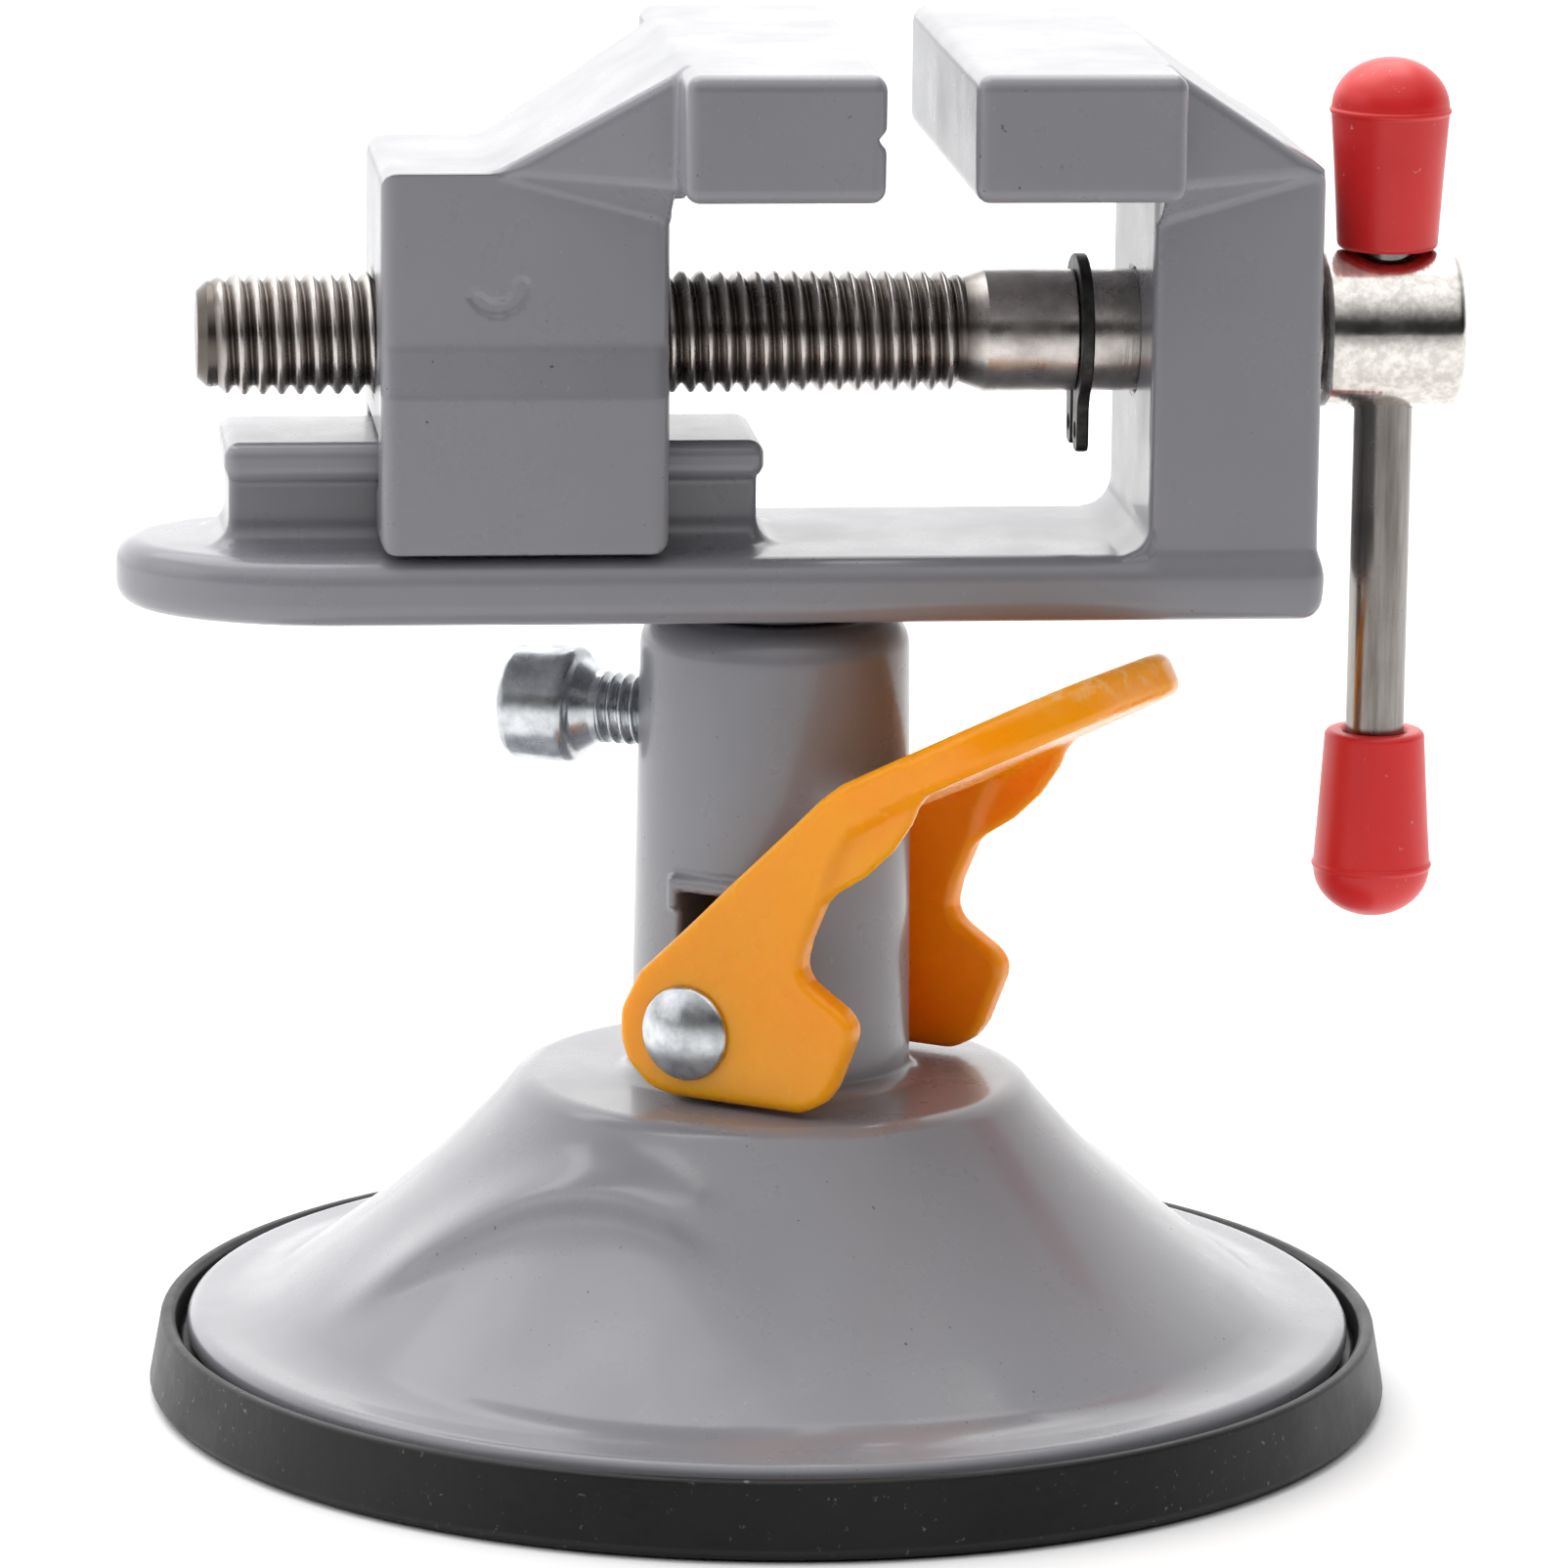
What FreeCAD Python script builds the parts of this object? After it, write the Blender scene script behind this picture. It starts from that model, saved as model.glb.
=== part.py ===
import FreeCAD, Part
import math
import os

# Bench vise for holding circuit boards, on a lever-operated suction base.
# Millimetres. +Z up, +X along the lead screw towards its T-bar, +Y to the back.
# The origin is where the column axis meets the plane the rubber cup rests on.
# Heights below are measured from the underside of the casting's cup seat. The cup
# reaches CUP_BOTTOM_Z below that, and every part is lifted by as much when written.

V = FreeCAD.Vector
X_AXIS = V(1, 0, 0)
Z_AXIS = V(0, 0, 1)
FULL_TURN = 360.0

# rubber cup
CUP_R = 51.0
CUP_BOTTOM_Z = -1.6
CUP_LIP_TOP_R = 50.2
CUP_LIP_IN_R = 48.8
CUP_LIP_Z = 4.7
CUP_WEB_Z = 2.4
CUP_DISH_R = 43.0
CUP_DISH_Z = 1.0
CUP_PAD_R = 8.0
CUP_HUB_R = 15.0
CUP_HUB_Z = 6.4

# cast dome with its column
RIM_R = 47.9
RIM_BOTTOM_Z = 2.7
RIM_TOP_Z = 5.3
RIM_ROUND = 1.3
FOOT_R = 42.6
DOME_FLANK = [(36.4, 9.9), (31.4, 13.6), (27.4, 17.6), (23.6, 21.4)]
DOME_TOP_R = 20.2
DOME_TOP_Z = 25.1
DOME_ROUND = 1.2
CAVITY = [(41.5, 2.7), (34.0, 7.6), (28.6, 12.4), (24.4, 16.8), (19.6, 21.6)]
CAVITY_TOP_Z = 21.6
COLUMN_FOOT_R = 11.45
COLUMN_TOP_R = 10.95
COLUMN_TOP_Z = 63.5
COLUMN_ROUND = 1.9
COLUMN_FOOT_FILLET = 1.0
SOCKET_R = 6.08
SOCKET_FLOOR_Z = 45.8
STEM_BORE_R = 5.3
SLOT_W = 5.0
SLOT_Z = (28.3, 42.0)
SLOT_FRAME = 0.9
SPOT_DIST = 10.1
SPOT_R = 4.3

# arched panel in the dome flank, one under each end of the lever pin
PANEL_HALF_W = 21.0
PANEL_PEAK_Z = 20.0
PANEL_DEPTH = 1.0

# lever pin and cam lever
PIN_YAW = 34.5
PIN_Z = 31.1
PIN_R = 2.0
PIN_HEAD_R = 3.95
PIN_HEAD_IN = 14.25
PIN_HEAD_RIM = 0.6
PIN_HEAD_CONE = 1.1
ARM_IN = 11.8
ARM_T = 2.45
ARM_HOLE_R = 2.08
HUB_R = 6.4
FOOT_BELOW = 5.5
PLATE_SLOPE = 27.5
THUMB_T = 3.6
THUMB_BEND = (13.6, 21.9)
THUMB_LENGTH = 20.8
THUMB_CORNER_R = 10.0
WEB_T = 1.3

# stud moulded into the cup
STEM_R = 5.0
STEM_TOP_Z = 36.4
STEM_DISC_R = 12.0
STEM_DISC_Z = (3.4, 5.0)
STEM_HOLE_R = 2.06

# vise frame
PLATE_Z = (64.6, 70.0)
PLATE_HALF_W = 12.7
PLATE_TIP_X = -53.5
PLATE_TAPER_X = -35.5
PLATE_END_X = 43.1
PLATE_ROUND = 1.5
BOSS_R = 7.5
BOSS_Z = 63.65
SPIGOT_R = 6.0
SPIGOT_Z = 46.6
GROOVE_R = 4.7
GROOVE_HALF_W = 3.4
RAIL_X = (-45.0, -1.7)
RAIL_NECK_HALF_W = 4.9
RAIL_HEAD_HALF_W = 7.3
RAIL_NECK_Z = 75.6
RAIL_TOP_Z = 78.7
POST_X = (28.85, 42.6)
POST_TOP_Z = 101.0
POST_FILLET = 2.4

# jaws
JAW_HALF_W = 23.0
JAW_Z = (100.1, 110.2)
FIXED_JAW_X = (13.1, 29.8)
MOVING_JAW_X = (-9.7, 6.1)
JAW_ROUND = 0.9
GUSSET_HALF_W = 16.5
GUSSET_LOW_Z = 97.2
NOTCH_Z = 105.1
NOTCH_DEPTH = 0.8

# moving jaw carriage
CARRIAGE_X = (-32.8, -9.8)
CARRIAGE_TOP_Z = 101.0
CARRIAGE_BOTTOM_Z = 70.5
CARRIAGE_HALF_W = 11.4
CARRIAGE_FOOT_HALF_W = 12.6
CARRIAGE_STEP_Z = (83.3, 86.6)
CARRIAGE_RAMP_X = -23.9
T_SLOT_GAP = 0.3

# lead screw
SCREW_Z = 86.5
SCREW_R = 4.93
SCREW_ROOT_R = 4.15
SCREW_PITCH = 1.5
SCREW_END_X = -47.0
THREAD_END_X = 13.6
SHANK_R = 4.95
THREAD_BORE_R = 5.02
SHANK_BORE_R = 5.03
SCREW_HEAD_X = (43.9, 55.3)
SCREW_HEAD_R = 6.5
CIRCLIP_X = (24.0, 25.0)
CIRCLIP_GROOVE_R = 4.5
CIRCLIP_R = 6.2
CIRCLIP_LUG_R = 9.6
CIRCLIP_LUG_W = 2.6
CIRCLIP_GAP = 1.4

# T-bar and its caps
BAR_X = 49.6
BAR_R = 2.4
BAR_HOLE_R = 2.46
BAR_Z = (40.9, 105.4)
CAP_LENGTH = 15.6
CAP_MOUTH_R = 4.05
CAP_BEAD_R = 4.95
CAP_BEAD_AT = 11.2
CAP_TOP_REST_Z = 93.1

# clamp screw
CLAMP_YAW = 26.0
CLAMP_Z = 54.3
CLAMP_TIP = 5.05
CLAMP_DOG_R = 2.2
CLAMP_R = 2.95
CLAMP_ROOT_R = 2.4
CLAMP_PITCH = 1.0
CLAMP_THREAD = (6.4, 15.3)
CLAMP_BORE_R = 3.03
CLAMP_HEAD = (16.75, 22.8)
CLAMP_HEAD_R = 4.8
CLAMP_HEAD_ROUND = 0.9
CLAMP_COLLAR_R = 4.0
HEX_AF = 5.0
HEX_DEPTH = 3.0


def revolved(profile, axis_point, axis_dir):
    wire = Part.makePolygon(profile + [profile[0]])
    return Part.Face(wire).revolve(axis_point, axis_dir, FULL_TURN)


def lathe_z(points):
    profile = [V(r, 0, z) for r, z in points]
    return revolved(profile, V(0, 0, 0), Z_AXIS)


def lathe_x(points, z_axis_height):
    profile = [V(x, 0, z_axis_height + r) for x, r in points]
    return revolved(profile, V(0, 0, z_axis_height), X_AXIS)


def block(x0, x1, half_w, z0, z1):
    return Part.makeBox(x1 - x0, 2 * half_w, z1 - z0, V(x0, -half_w, z0))


def prism_y(points, half_w):
    corners = [V(x, -half_w, z) for x, z in points]
    face = Part.Face(Part.makePolygon(corners + [corners[0]]))
    return face.extrude(V(0, 2 * half_w, 0))


def hull_solid(faces):
    shells = [Part.Face(Part.makePolygon(f + [f[0]])) for f in faces]
    return Part.makeSolid(Part.makeShell(shells))


def edges_where(shape, test):
    return [e for e in shape.Edges if test(e)]


def all_at(edge, axis, value, tol=0.01):
    return all(abs(getattr(v.Point, axis) - value) < tol for v in edge.Vertexes)


def yawed(shape, degrees):
    shape.rotate(V(0, 0, 0), Z_AXIS, degrees)
    return shape


def thread_profile(start, end, pitch, crest_r, root_r):
    points = []
    turns = int((end - start) / pitch)
    for i in range(turns):
        at = start + i * pitch
        points.append((at, root_r))
        points.append((at + 0.42 * pitch, crest_r))
        points.append((at + 0.58 * pitch, crest_r))
    points.append((start + turns * pitch, root_r))
    return points


# ---- base -------------------------------------------------------------

def suction_cup():
    z0 = CUP_BOTTOM_Z
    ring = [
        (0, z0),
        (CUP_PAD_R, z0),
        (CUP_HUB_R, z0 + CUP_DISH_Z),
        (CUP_DISH_R - 6, z0 + CUP_DISH_Z * 0.6),
        (CUP_DISH_R, z0),
        (CUP_R - 0.6, z0),
        (CUP_R, z0 + 0.8),
        (CUP_LIP_TOP_R, CUP_LIP_Z - 0.4),
        (CUP_LIP_TOP_R - 0.4, CUP_LIP_Z),
        (CUP_LIP_IN_R + 0.3, CUP_LIP_Z),
        (CUP_LIP_IN_R, CUP_LIP_Z - 0.3),
        (CUP_LIP_IN_R, CUP_WEB_Z),
        (CUP_HUB_R + 3, CUP_WEB_Z + 0.6),
        (CUP_HUB_R, CUP_HUB_Z),
        (0, CUP_HUB_Z),
    ]
    disc_z0, disc_z1 = STEM_DISC_Z
    disc = Part.makeCylinder(STEM_DISC_R, disc_z1 - disc_z0, V(0, 0, disc_z0))
    stud = Part.makeCylinder(STEM_R, CUP_HUB_Z, V(0, 0, disc_z0))
    return lathe_z(ring).cut(disc.fuse(stud))


def cup_stem():
    z0, z1 = STEM_DISC_Z
    disc = Part.makeCylinder(STEM_DISC_R, z1 - z0, V(0, 0, z0))
    stud = Part.makeCylinder(STEM_R, STEM_TOP_Z - z0, V(0, 0, z0))
    rim = edges_where(stud, lambda e: abs(e.CenterOfMass.z - STEM_TOP_Z) < 0.01)
    stud = stud.makeChamfer(0.6, rim)
    hole = Part.makeCylinder(STEM_HOLE_R, 4 * STEM_R, V(0, -2 * STEM_R, PIN_Z), V(0, 1, 0))
    return disc.fuse(stud).removeSplitter().cut(yawed(hole, -PIN_YAW))


def dome_body():
    flank = [V(RIM_R - RIM_ROUND - 1.6, 0, RIM_TOP_Z), V(FOOT_R, 0, RIM_TOP_Z + 0.8)]
    flank += [V(r, 0, z) for r, z in DOME_FLANK]
    flank += [V(DOME_TOP_R + DOME_ROUND * 0.7, 0, DOME_TOP_Z - DOME_ROUND * 0.8)]
    curve = Part.BSplineCurve()
    curve.interpolate(flank)
    start, end = flank[0], flank[-1]
    rim_low = V(RIM_R, 0, RIM_BOTTOM_Z)
    rim_high = V(RIM_R, 0, RIM_TOP_Z - RIM_ROUND)
    rim_mid = V(RIM_R - RIM_ROUND * 0.35, 0, RIM_TOP_Z - RIM_ROUND * 0.4)
    rim_in = V(RIM_R - RIM_ROUND, 0, RIM_TOP_Z - 0.12)
    top_mid = V(DOME_TOP_R + 0.1, 0, DOME_TOP_Z - 0.22)
    top_in = V(DOME_TOP_R - DOME_ROUND, 0, DOME_TOP_Z)
    inner = [V(r, 0, z) for r, z in CAVITY]
    edges = [
        Part.makeLine(inner[0], rim_low),
        Part.makeLine(rim_low, rim_high),
        Part.Arc(rim_high, rim_mid, rim_in).toShape(),
        Part.makeLine(rim_in, start),
        curve.toShape(),
        Part.Arc(end, top_mid, top_in).toShape(),
        Part.makeLine(top_in, V(0, 0, DOME_TOP_Z)),
        Part.makeLine(V(0, 0, DOME_TOP_Z), V(0, 0, CAVITY_TOP_Z)),
        Part.makeLine(V(0, 0, CAVITY_TOP_Z), inner[-1]),
    ]
    for a, b in zip(inner[::-1][:-1], inner[::-1][1:]):
        edges.append(Part.makeLine(a, b))
    wire = Part.Wire(Part.__sortEdges__(edges))
    return Part.Face(wire).revolve(V(0, 0, 0), Z_AXIS, FULL_TURN)


def arched_panels(dome):
    lowered = dome.copy()
    lowered.translate(V(0, 0, -PANEL_DEPTH * 1.35))
    skin = dome.cut(lowered)
    foot = V(0, -PANEL_HALF_W, RIM_TOP_Z + 1.2)
    far = V(0, PANEL_HALF_W, RIM_TOP_Z + 1.2)
    peak = V(0, 0, PANEL_PEAK_Z)
    arch = Part.Wire([Part.Arc(foot, peak, far).toShape(), Part.makeLine(far, foot)])
    prism = Part.Face(arch).extrude(V(RIM_R, 0, 0))
    core = Part.makeCylinder(DOME_TOP_R + 1.5, RIM_R, V(0, 0, 0))
    panel = skin.common(prism.cut(core))
    near = panel.copy()
    near.rotate(V(0, 0, 0), Z_AXIS, -90 - PIN_YAW)
    rear = panel.copy()
    rear.rotate(V(0, 0, 0), Z_AXIS, 90 - PIN_YAW)
    return near.fuse(rear)


def column_shell():
    post = Part.makeCone(
        COLUMN_FOOT_R, COLUMN_TOP_R, COLUMN_TOP_Z - DOME_TOP_Z + 1.0, V(0, 0, DOME_TOP_Z - 1.0)
    )
    rim = edges_where(post, lambda e: all_at(e, "z", COLUMN_TOP_Z) and e.Length > 10)
    return post.makeFillet(COLUMN_ROUND, rim)


def slot_frames():
    z0, z1 = SLOT_Z
    half = SLOT_W / 2 + SLOT_FRAME
    reach = COLUMN_FOOT_R + 0.05
    frame = Part.makeBox(2 * half, 2 * reach, 2.6, V(-half, -reach, z1 - 1.5))
    return yawed(frame, -PIN_YAW)


def dome_base():
    dome = dome_body()
    dome = dome.cut(arched_panels(dome))
    body = dome.fuse(column_shell()).fuse(slot_frames())
    socket = Part.makeCylinder(SOCKET_R, COLUMN_TOP_Z, V(0, 0, SOCKET_FLOOR_Z))
    stem_bore = Part.makeCylinder(STEM_BORE_R, COLUMN_TOP_Z)
    z0, z1 = SLOT_Z
    slot = Part.makeBox(SLOT_W, 4 * COLUMN_FOOT_R, z1 - z0, V(-SLOT_W / 2, -2 * COLUMN_FOOT_R, z0))
    clamp_bore = Part.makeCylinder(CLAMP_BORE_R, COLUMN_FOOT_R + 4, V(0, 0, CLAMP_Z), V(-1, 0, 0))
    spot = Part.makeCylinder(SPOT_R, SPOT_DIST, V(-SPOT_DIST, 0, CLAMP_Z), V(-1, 0, 0))
    body = body.cut(socket).cut(stem_bore).cut(yawed(slot, -PIN_YAW))
    return body.cut(yawed(clamp_bore.fuse(spot), -CLAMP_YAW))


# ---- cam lever --------------------------------------------------------

def lever_frame(shape):
    """Lever profiles are drawn in XZ about the pin, then set along the pin."""
    shape.translate(V(0, 0, PIN_Z))
    return yawed(shape, -PIN_YAW)


def lever_pin():
    head_out = PIN_HEAD_IN + PIN_HEAD_RIM
    tip = head_out + PIN_HEAD_CONE
    half = [
        (0, tip),
        (PIN_HEAD_R * 0.25, tip - 0.25),
        (PIN_HEAD_R - 0.15, head_out + 0.1),
        (PIN_HEAD_R, head_out),
        (PIN_HEAD_R, PIN_HEAD_IN),
        (PIN_R, PIN_HEAD_IN),
    ]
    outline = half + [(r, -y) for r, y in half[::-1]]
    profile = [V(r, y, 0) for r, y in outline]
    pin = revolved(profile, V(0, 0, 0), V(0, 1, 0))
    return lever_frame(pin)


def arm_outline():
    slope = math.radians(PLATE_SLOPE)
    bend_x, bend_z = THUMB_BEND
    under = THUMB_T / math.cos(slope)
    plate_end = 20.5
    top_end = bend_z + (plate_end - bend_x) * math.tan(slope)
    return [
        (-HUB_R * 0.98, 1.2),
        (-HUB_R * 0.72, HUB_R * 0.70),
        (-0.3, 8.6),
        (3.8, 12.7),
        (9.8, 18.5),
        (11.7, 20.4),
        (bend_x, bend_z),
        (plate_end, top_end),
        (plate_end, top_end - under),
        (16.4, 19.5),
        (14.2, 17.6),
        (12.9, 14.9),
        (12.3, 12.4),
        (10.7, 8.7),
        (10.2, 6.6),
        (10.8, 5.4),
        (14.2, 3.3),
        (15.0, 2.3),
        (15.0, 1.2),
        (13.3, -3.1),
        (12.3, -4.5),
        (10.4, -FOOT_BELOW),
        (-1.4, -FOOT_BELOW),
        (-3.6, -5.0),
        (-5.6, -3.1),
        (-HUB_R * 0.98, -1.2),
    ]


def web_outline():
    slope = math.radians(PLATE_SLOPE)
    bend_x, bend_z = THUMB_BEND
    end_x = 20.6
    top_end = bend_z + (end_x - bend_x) * math.tan(slope) - 1.0
    return [
        (11.0, 12.0),
        (12.7, 12.6),
        (15.6, 14.5),
        (18.0, 16.8),
        (19.7, 19.3),
        (end_x, 21.8),
        (end_x, top_end),
        (12.2, 20.2),
    ]


def thumb_plate():
    slope = math.radians(PLATE_SLOPE)
    bend_x, bend_z = THUMB_BEND
    half = ARM_IN + ARM_T
    plate = Part.makeBox(THUMB_LENGTH, 2 * half, THUMB_T, V(0, -half, -THUMB_T))
    corners = edges_where(
        plate, lambda e: all_at(e, "x", THUMB_LENGTH) and abs(e.Length - THUMB_T) < 0.01
    )
    plate = plate.makeFillet(THUMB_CORNER_R, corners)
    plate.rotate(V(0, 0, 0), V(0, 1, 0), -math.degrees(slope))
    plate.translate(V(bend_x, 0, bend_z))
    return plate


def bend_bar():
    """Cross piece that ties both arms together at the foot of the thumb plate."""
    outline = [(11.0, 19.7), (13.6, 21.9), (16.2, 23.2), (17.8, 20.0), (14.8, 18.2)]
    return prism_y(outline, ARM_IN + ARM_T)


def cam_lever():
    arms = []
    for side in (-1, 1):
        inner = ARM_IN if side > 0 else -ARM_IN - ARM_T
        corners = [V(x, inner, z) for x, z in arm_outline()]
        face = Part.Face(Part.makePolygon(corners + [corners[0]]))
        arms.append(face.extrude(V(0, ARM_T, 0)))
        web_y = ARM_IN + 0.4 if side > 0 else -ARM_IN - 0.4 - WEB_T
        corners = [V(x, web_y, z) for x, z in web_outline()]
        face = Part.Face(Part.makePolygon(corners + [corners[0]]))
        arms.append(face.extrude(V(0, WEB_T, 0)))
    lever = thumb_plate().fuse([bend_bar()] + arms).removeSplitter()
    around_column = Part.makeCylinder(ARM_IN - 0.05, 4 * HUB_R + THUMB_LENGTH)
    lever = lever.cut(around_column)
    reach = 2 * (ARM_IN + ARM_T)
    hole = Part.makeCylinder(ARM_HOLE_R, 2 * reach, V(0, -reach, 0), V(0, 1, 0))
    return lever_frame(lever.cut(hole))


# ---- vise head --------------------------------------------------------

def frame_plate():
    z0, z1 = PLATE_Z
    a = PLATE_TAPER_X - PLATE_TIP_X
    nose = Part.Ellipse(V(PLATE_TAPER_X, 0, z0), a, PLATE_HALF_W)
    arc = Part.Arc(nose, math.pi / 2, 3 * math.pi / 2).toShape()
    back_left = V(PLATE_TAPER_X, PLATE_HALF_W, z0)
    back_right = V(PLATE_END_X, PLATE_HALF_W, z0)
    front_right = V(PLATE_END_X, -PLATE_HALF_W, z0)
    front_left = V(PLATE_TAPER_X, -PLATE_HALF_W, z0)
    sides = [
        Part.makeLine(front_left, front_right),
        Part.makeLine(front_right, back_right),
        Part.makeLine(back_right, back_left),
    ]
    wire = Part.Wire([arc] + sides)
    plate = Part.Face(wire).extrude(V(0, 0, z1 - z0))
    corners = edges_where(
        plate, lambda e: all_at(e, "x", PLATE_END_X) and abs(e.Length - (z1 - z0)) < 0.01
    )
    plate = plate.makeFillet(PLATE_ROUND, corners)
    rims = edges_where(plate, lambda e: all_at(e, "z", z0) or all_at(e, "z", z1))
    return plate.makeFillet(PLATE_ROUND * 0.95, rims)


def rail():
    x0, x1 = RAIL_X
    z0 = PLATE_Z[1] - 0.6
    neck = block(x0 + 0.4, x1 - 0.4, RAIL_NECK_HALF_W, z0, RAIL_NECK_Z + 0.5)
    head = block(x0, x1, RAIL_HEAD_HALF_W, RAIL_NECK_Z, RAIL_TOP_Z)
    ends = edges_where(head, lambda e: all_at(e, "x", x0) or all_at(e, "x", x1))
    head = head.makeFillet(0.8, ends)
    return neck.fuse(head)


def gusset(x_out, x_jaw, half_w, top_z):
    """Faceted wedge that spreads from the narrow upright to the wide jaw."""
    low = V(x_jaw, -half_w, GUSSET_LOW_Z)
    low_far = V(x_jaw, half_w, GUSSET_LOW_Z)
    mid = V(x_jaw, -GUSSET_HALF_W, JAW_Z[0] + 0.3)
    mid_far = V(x_jaw, GUSSET_HALF_W, JAW_Z[0] + 0.3)
    top = V(x_jaw, -GUSSET_HALF_W, JAW_Z[1] - 0.2)
    top_far = V(x_jaw, GUSSET_HALF_W, JAW_Z[1] - 0.2)
    out = V(x_out, -half_w, top_z)
    out_far = V(x_out, half_w, top_z)
    faces = [
        [out, out_far, top_far, top],
        [out, top, mid],
        [out, mid, low],
        [out_far, mid_far, top_far],
        [out_far, low_far, mid_far],
        [out, low, low_far, out_far],
        [low, mid, top, top_far, mid_far, low_far],
    ]
    return hull_solid(faces)


def jaw_bar(x0, x1):
    bar = block(x0, x1, JAW_HALF_W, JAW_Z[0], JAW_Z[1])
    return bar.makeFillet(JAW_ROUND, bar.Edges)


def post():
    x0, x1 = POST_X
    z0 = PLATE_Z[1] - 1.2
    body = block(x0, x1, PLATE_HALF_W, z0, POST_TOP_Z)
    corners = edges_where(body, lambda e: abs(e.Length - (POST_TOP_Z - z0)) < 0.01)
    return body.makeFillet(0.8, corners)


def inner_corner_fillet():
    x1 = POST_X[0] + 0.3
    z0 = PLATE_Z[1] - 0.3
    x0 = x1 - POST_FILLET
    z1 = z0 + POST_FILLET
    bow = 0.29 * POST_FILLET
    arc = Part.Arc(V(x0, -PLATE_HALF_W, z0), V(x1 - bow, -PLATE_HALF_W, z0 + bow), V(x1, -PLATE_HALF_W, z1))
    corner = V(x1, -PLATE_HALF_W, z0)
    legs = [
        Part.makeLine(V(x1, -PLATE_HALF_W, z1), corner),
        Part.makeLine(corner, V(x0, -PLATE_HALF_W, z0)),
    ]
    face = Part.Face(Part.Wire([arc.toShape()] + legs))
    face.translate(V(0, 1.2, 0))
    return face.extrude(V(0, 2 * PLATE_HALF_W - 2.4, 0))


def spigot():
    groove_top = CLAMP_Z + GROOVE_HALF_W
    groove_low = CLAMP_Z - GROOVE_HALF_W
    slope = SPIGOT_R - GROOVE_R
    return lathe_z([
        (0, PLATE_Z[0] + 1),
        (BOSS_R, PLATE_Z[0] + 1),
        (BOSS_R, BOSS_Z),
        (SPIGOT_R, BOSS_Z),
        (SPIGOT_R, groove_top + slope),
        (GROOVE_R, groove_top),
        (GROOVE_R, groove_low),
        (SPIGOT_R, groove_low - slope),
        (SPIGOT_R, SPIGOT_Z + 0.6),
        (SPIGOT_R - 0.6, SPIGOT_Z),
        (0, SPIGOT_Z),
    ])


def vise_frame():
    x0, x1 = FIXED_JAW_X
    body = frame_plate().fuse([rail(), post(), spigot(), inner_corner_fillet()])
    body = body.fuse(gusset(POST_X[1], x1 - 0.6, PLATE_HALF_W, POST_TOP_Z))
    shelf = block(POST_X[0], x1 - 0.4, PLATE_HALF_W, JAW_Z[0] - 1.2, JAW_Z[0] + 3)
    body = body.fuse([shelf, jaw_bar(x0, x1)]).removeSplitter()
    bore = Part.makeCylinder(SHANK_BORE_R, 30, V(POST_X[0] - 5, 0, SCREW_Z), X_AXIS)
    return body.cut(bore)


def carriage():
    x0, x1 = CARRIAGE_X
    z_low, z_high = CARRIAGE_STEP_Z
    foot = CARRIAGE_FOOT_HALF_W
    upper = CARRIAGE_HALF_W
    outline = [
        (-foot, CARRIAGE_BOTTOM_Z),
        (foot, CARRIAGE_BOTTOM_Z),
        (foot, z_low),
        (upper, z_high),
        (upper, CARRIAGE_TOP_Z),
        (-upper, CARRIAGE_TOP_Z),
        (-upper, z_high),
        (-foot, z_low),
    ]
    corners = [V(x0, y, z) for y, z in outline]
    face = Part.Face(Part.makePolygon(corners + [corners[0]]))
    body = face.extrude(V(x1 - x0, 0, 0))
    outer = edges_where(body, lambda e: all_at(e, "x", x0))
    long_edges = edges_where(
        body, lambda e: abs(e.Length - (x1 - x0)) < 0.01 and not all_at(e, "z", CARRIAGE_TOP_Z)
    )
    body = body.makeFillet(0.8, outer + long_edges)
    gap = T_SLOT_GAP
    neck = block(x0 - 1, x1 + 1, RAIL_NECK_HALF_W + gap, CARRIAGE_BOTTOM_Z - 1, RAIL_NECK_Z)
    head = block(x0 - 1, x1 + 1, RAIL_HEAD_HALF_W + gap, RAIL_NECK_Z - gap, RAIL_TOP_Z + gap)
    return body.cut(neck.fuse(head))


def moving_jaw():
    x0, x1 = MOVING_JAW_X
    body = carriage()
    body = body.fuse(gusset(CARRIAGE_RAMP_X, x0 + 0.6, CARRIAGE_HALF_W, CARRIAGE_TOP_Z))
    shelf = block(CARRIAGE_X[1] - 1, x0 + 0.4, CARRIAGE_HALF_W, JAW_Z[0] - 1.2, JAW_Z[0] + 3)
    body = body.fuse([shelf, jaw_bar(x0, x1)]).removeSplitter()
    bore = Part.makeCylinder(THREAD_BORE_R, 40, V(CARRIAGE_X[0] - 5, 0, SCREW_Z), X_AXIS)
    notch = prism_y([
        (x1 + 0.1, NOTCH_Z - NOTCH_DEPTH),
        (x1 - NOTCH_DEPTH, NOTCH_Z),
        (x1 + 0.1, NOTCH_Z + NOTCH_DEPTH),
    ], JAW_HALF_W + 1)
    return body.cut(bore).cut(notch)


# ---- lead screw -------------------------------------------------------

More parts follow.
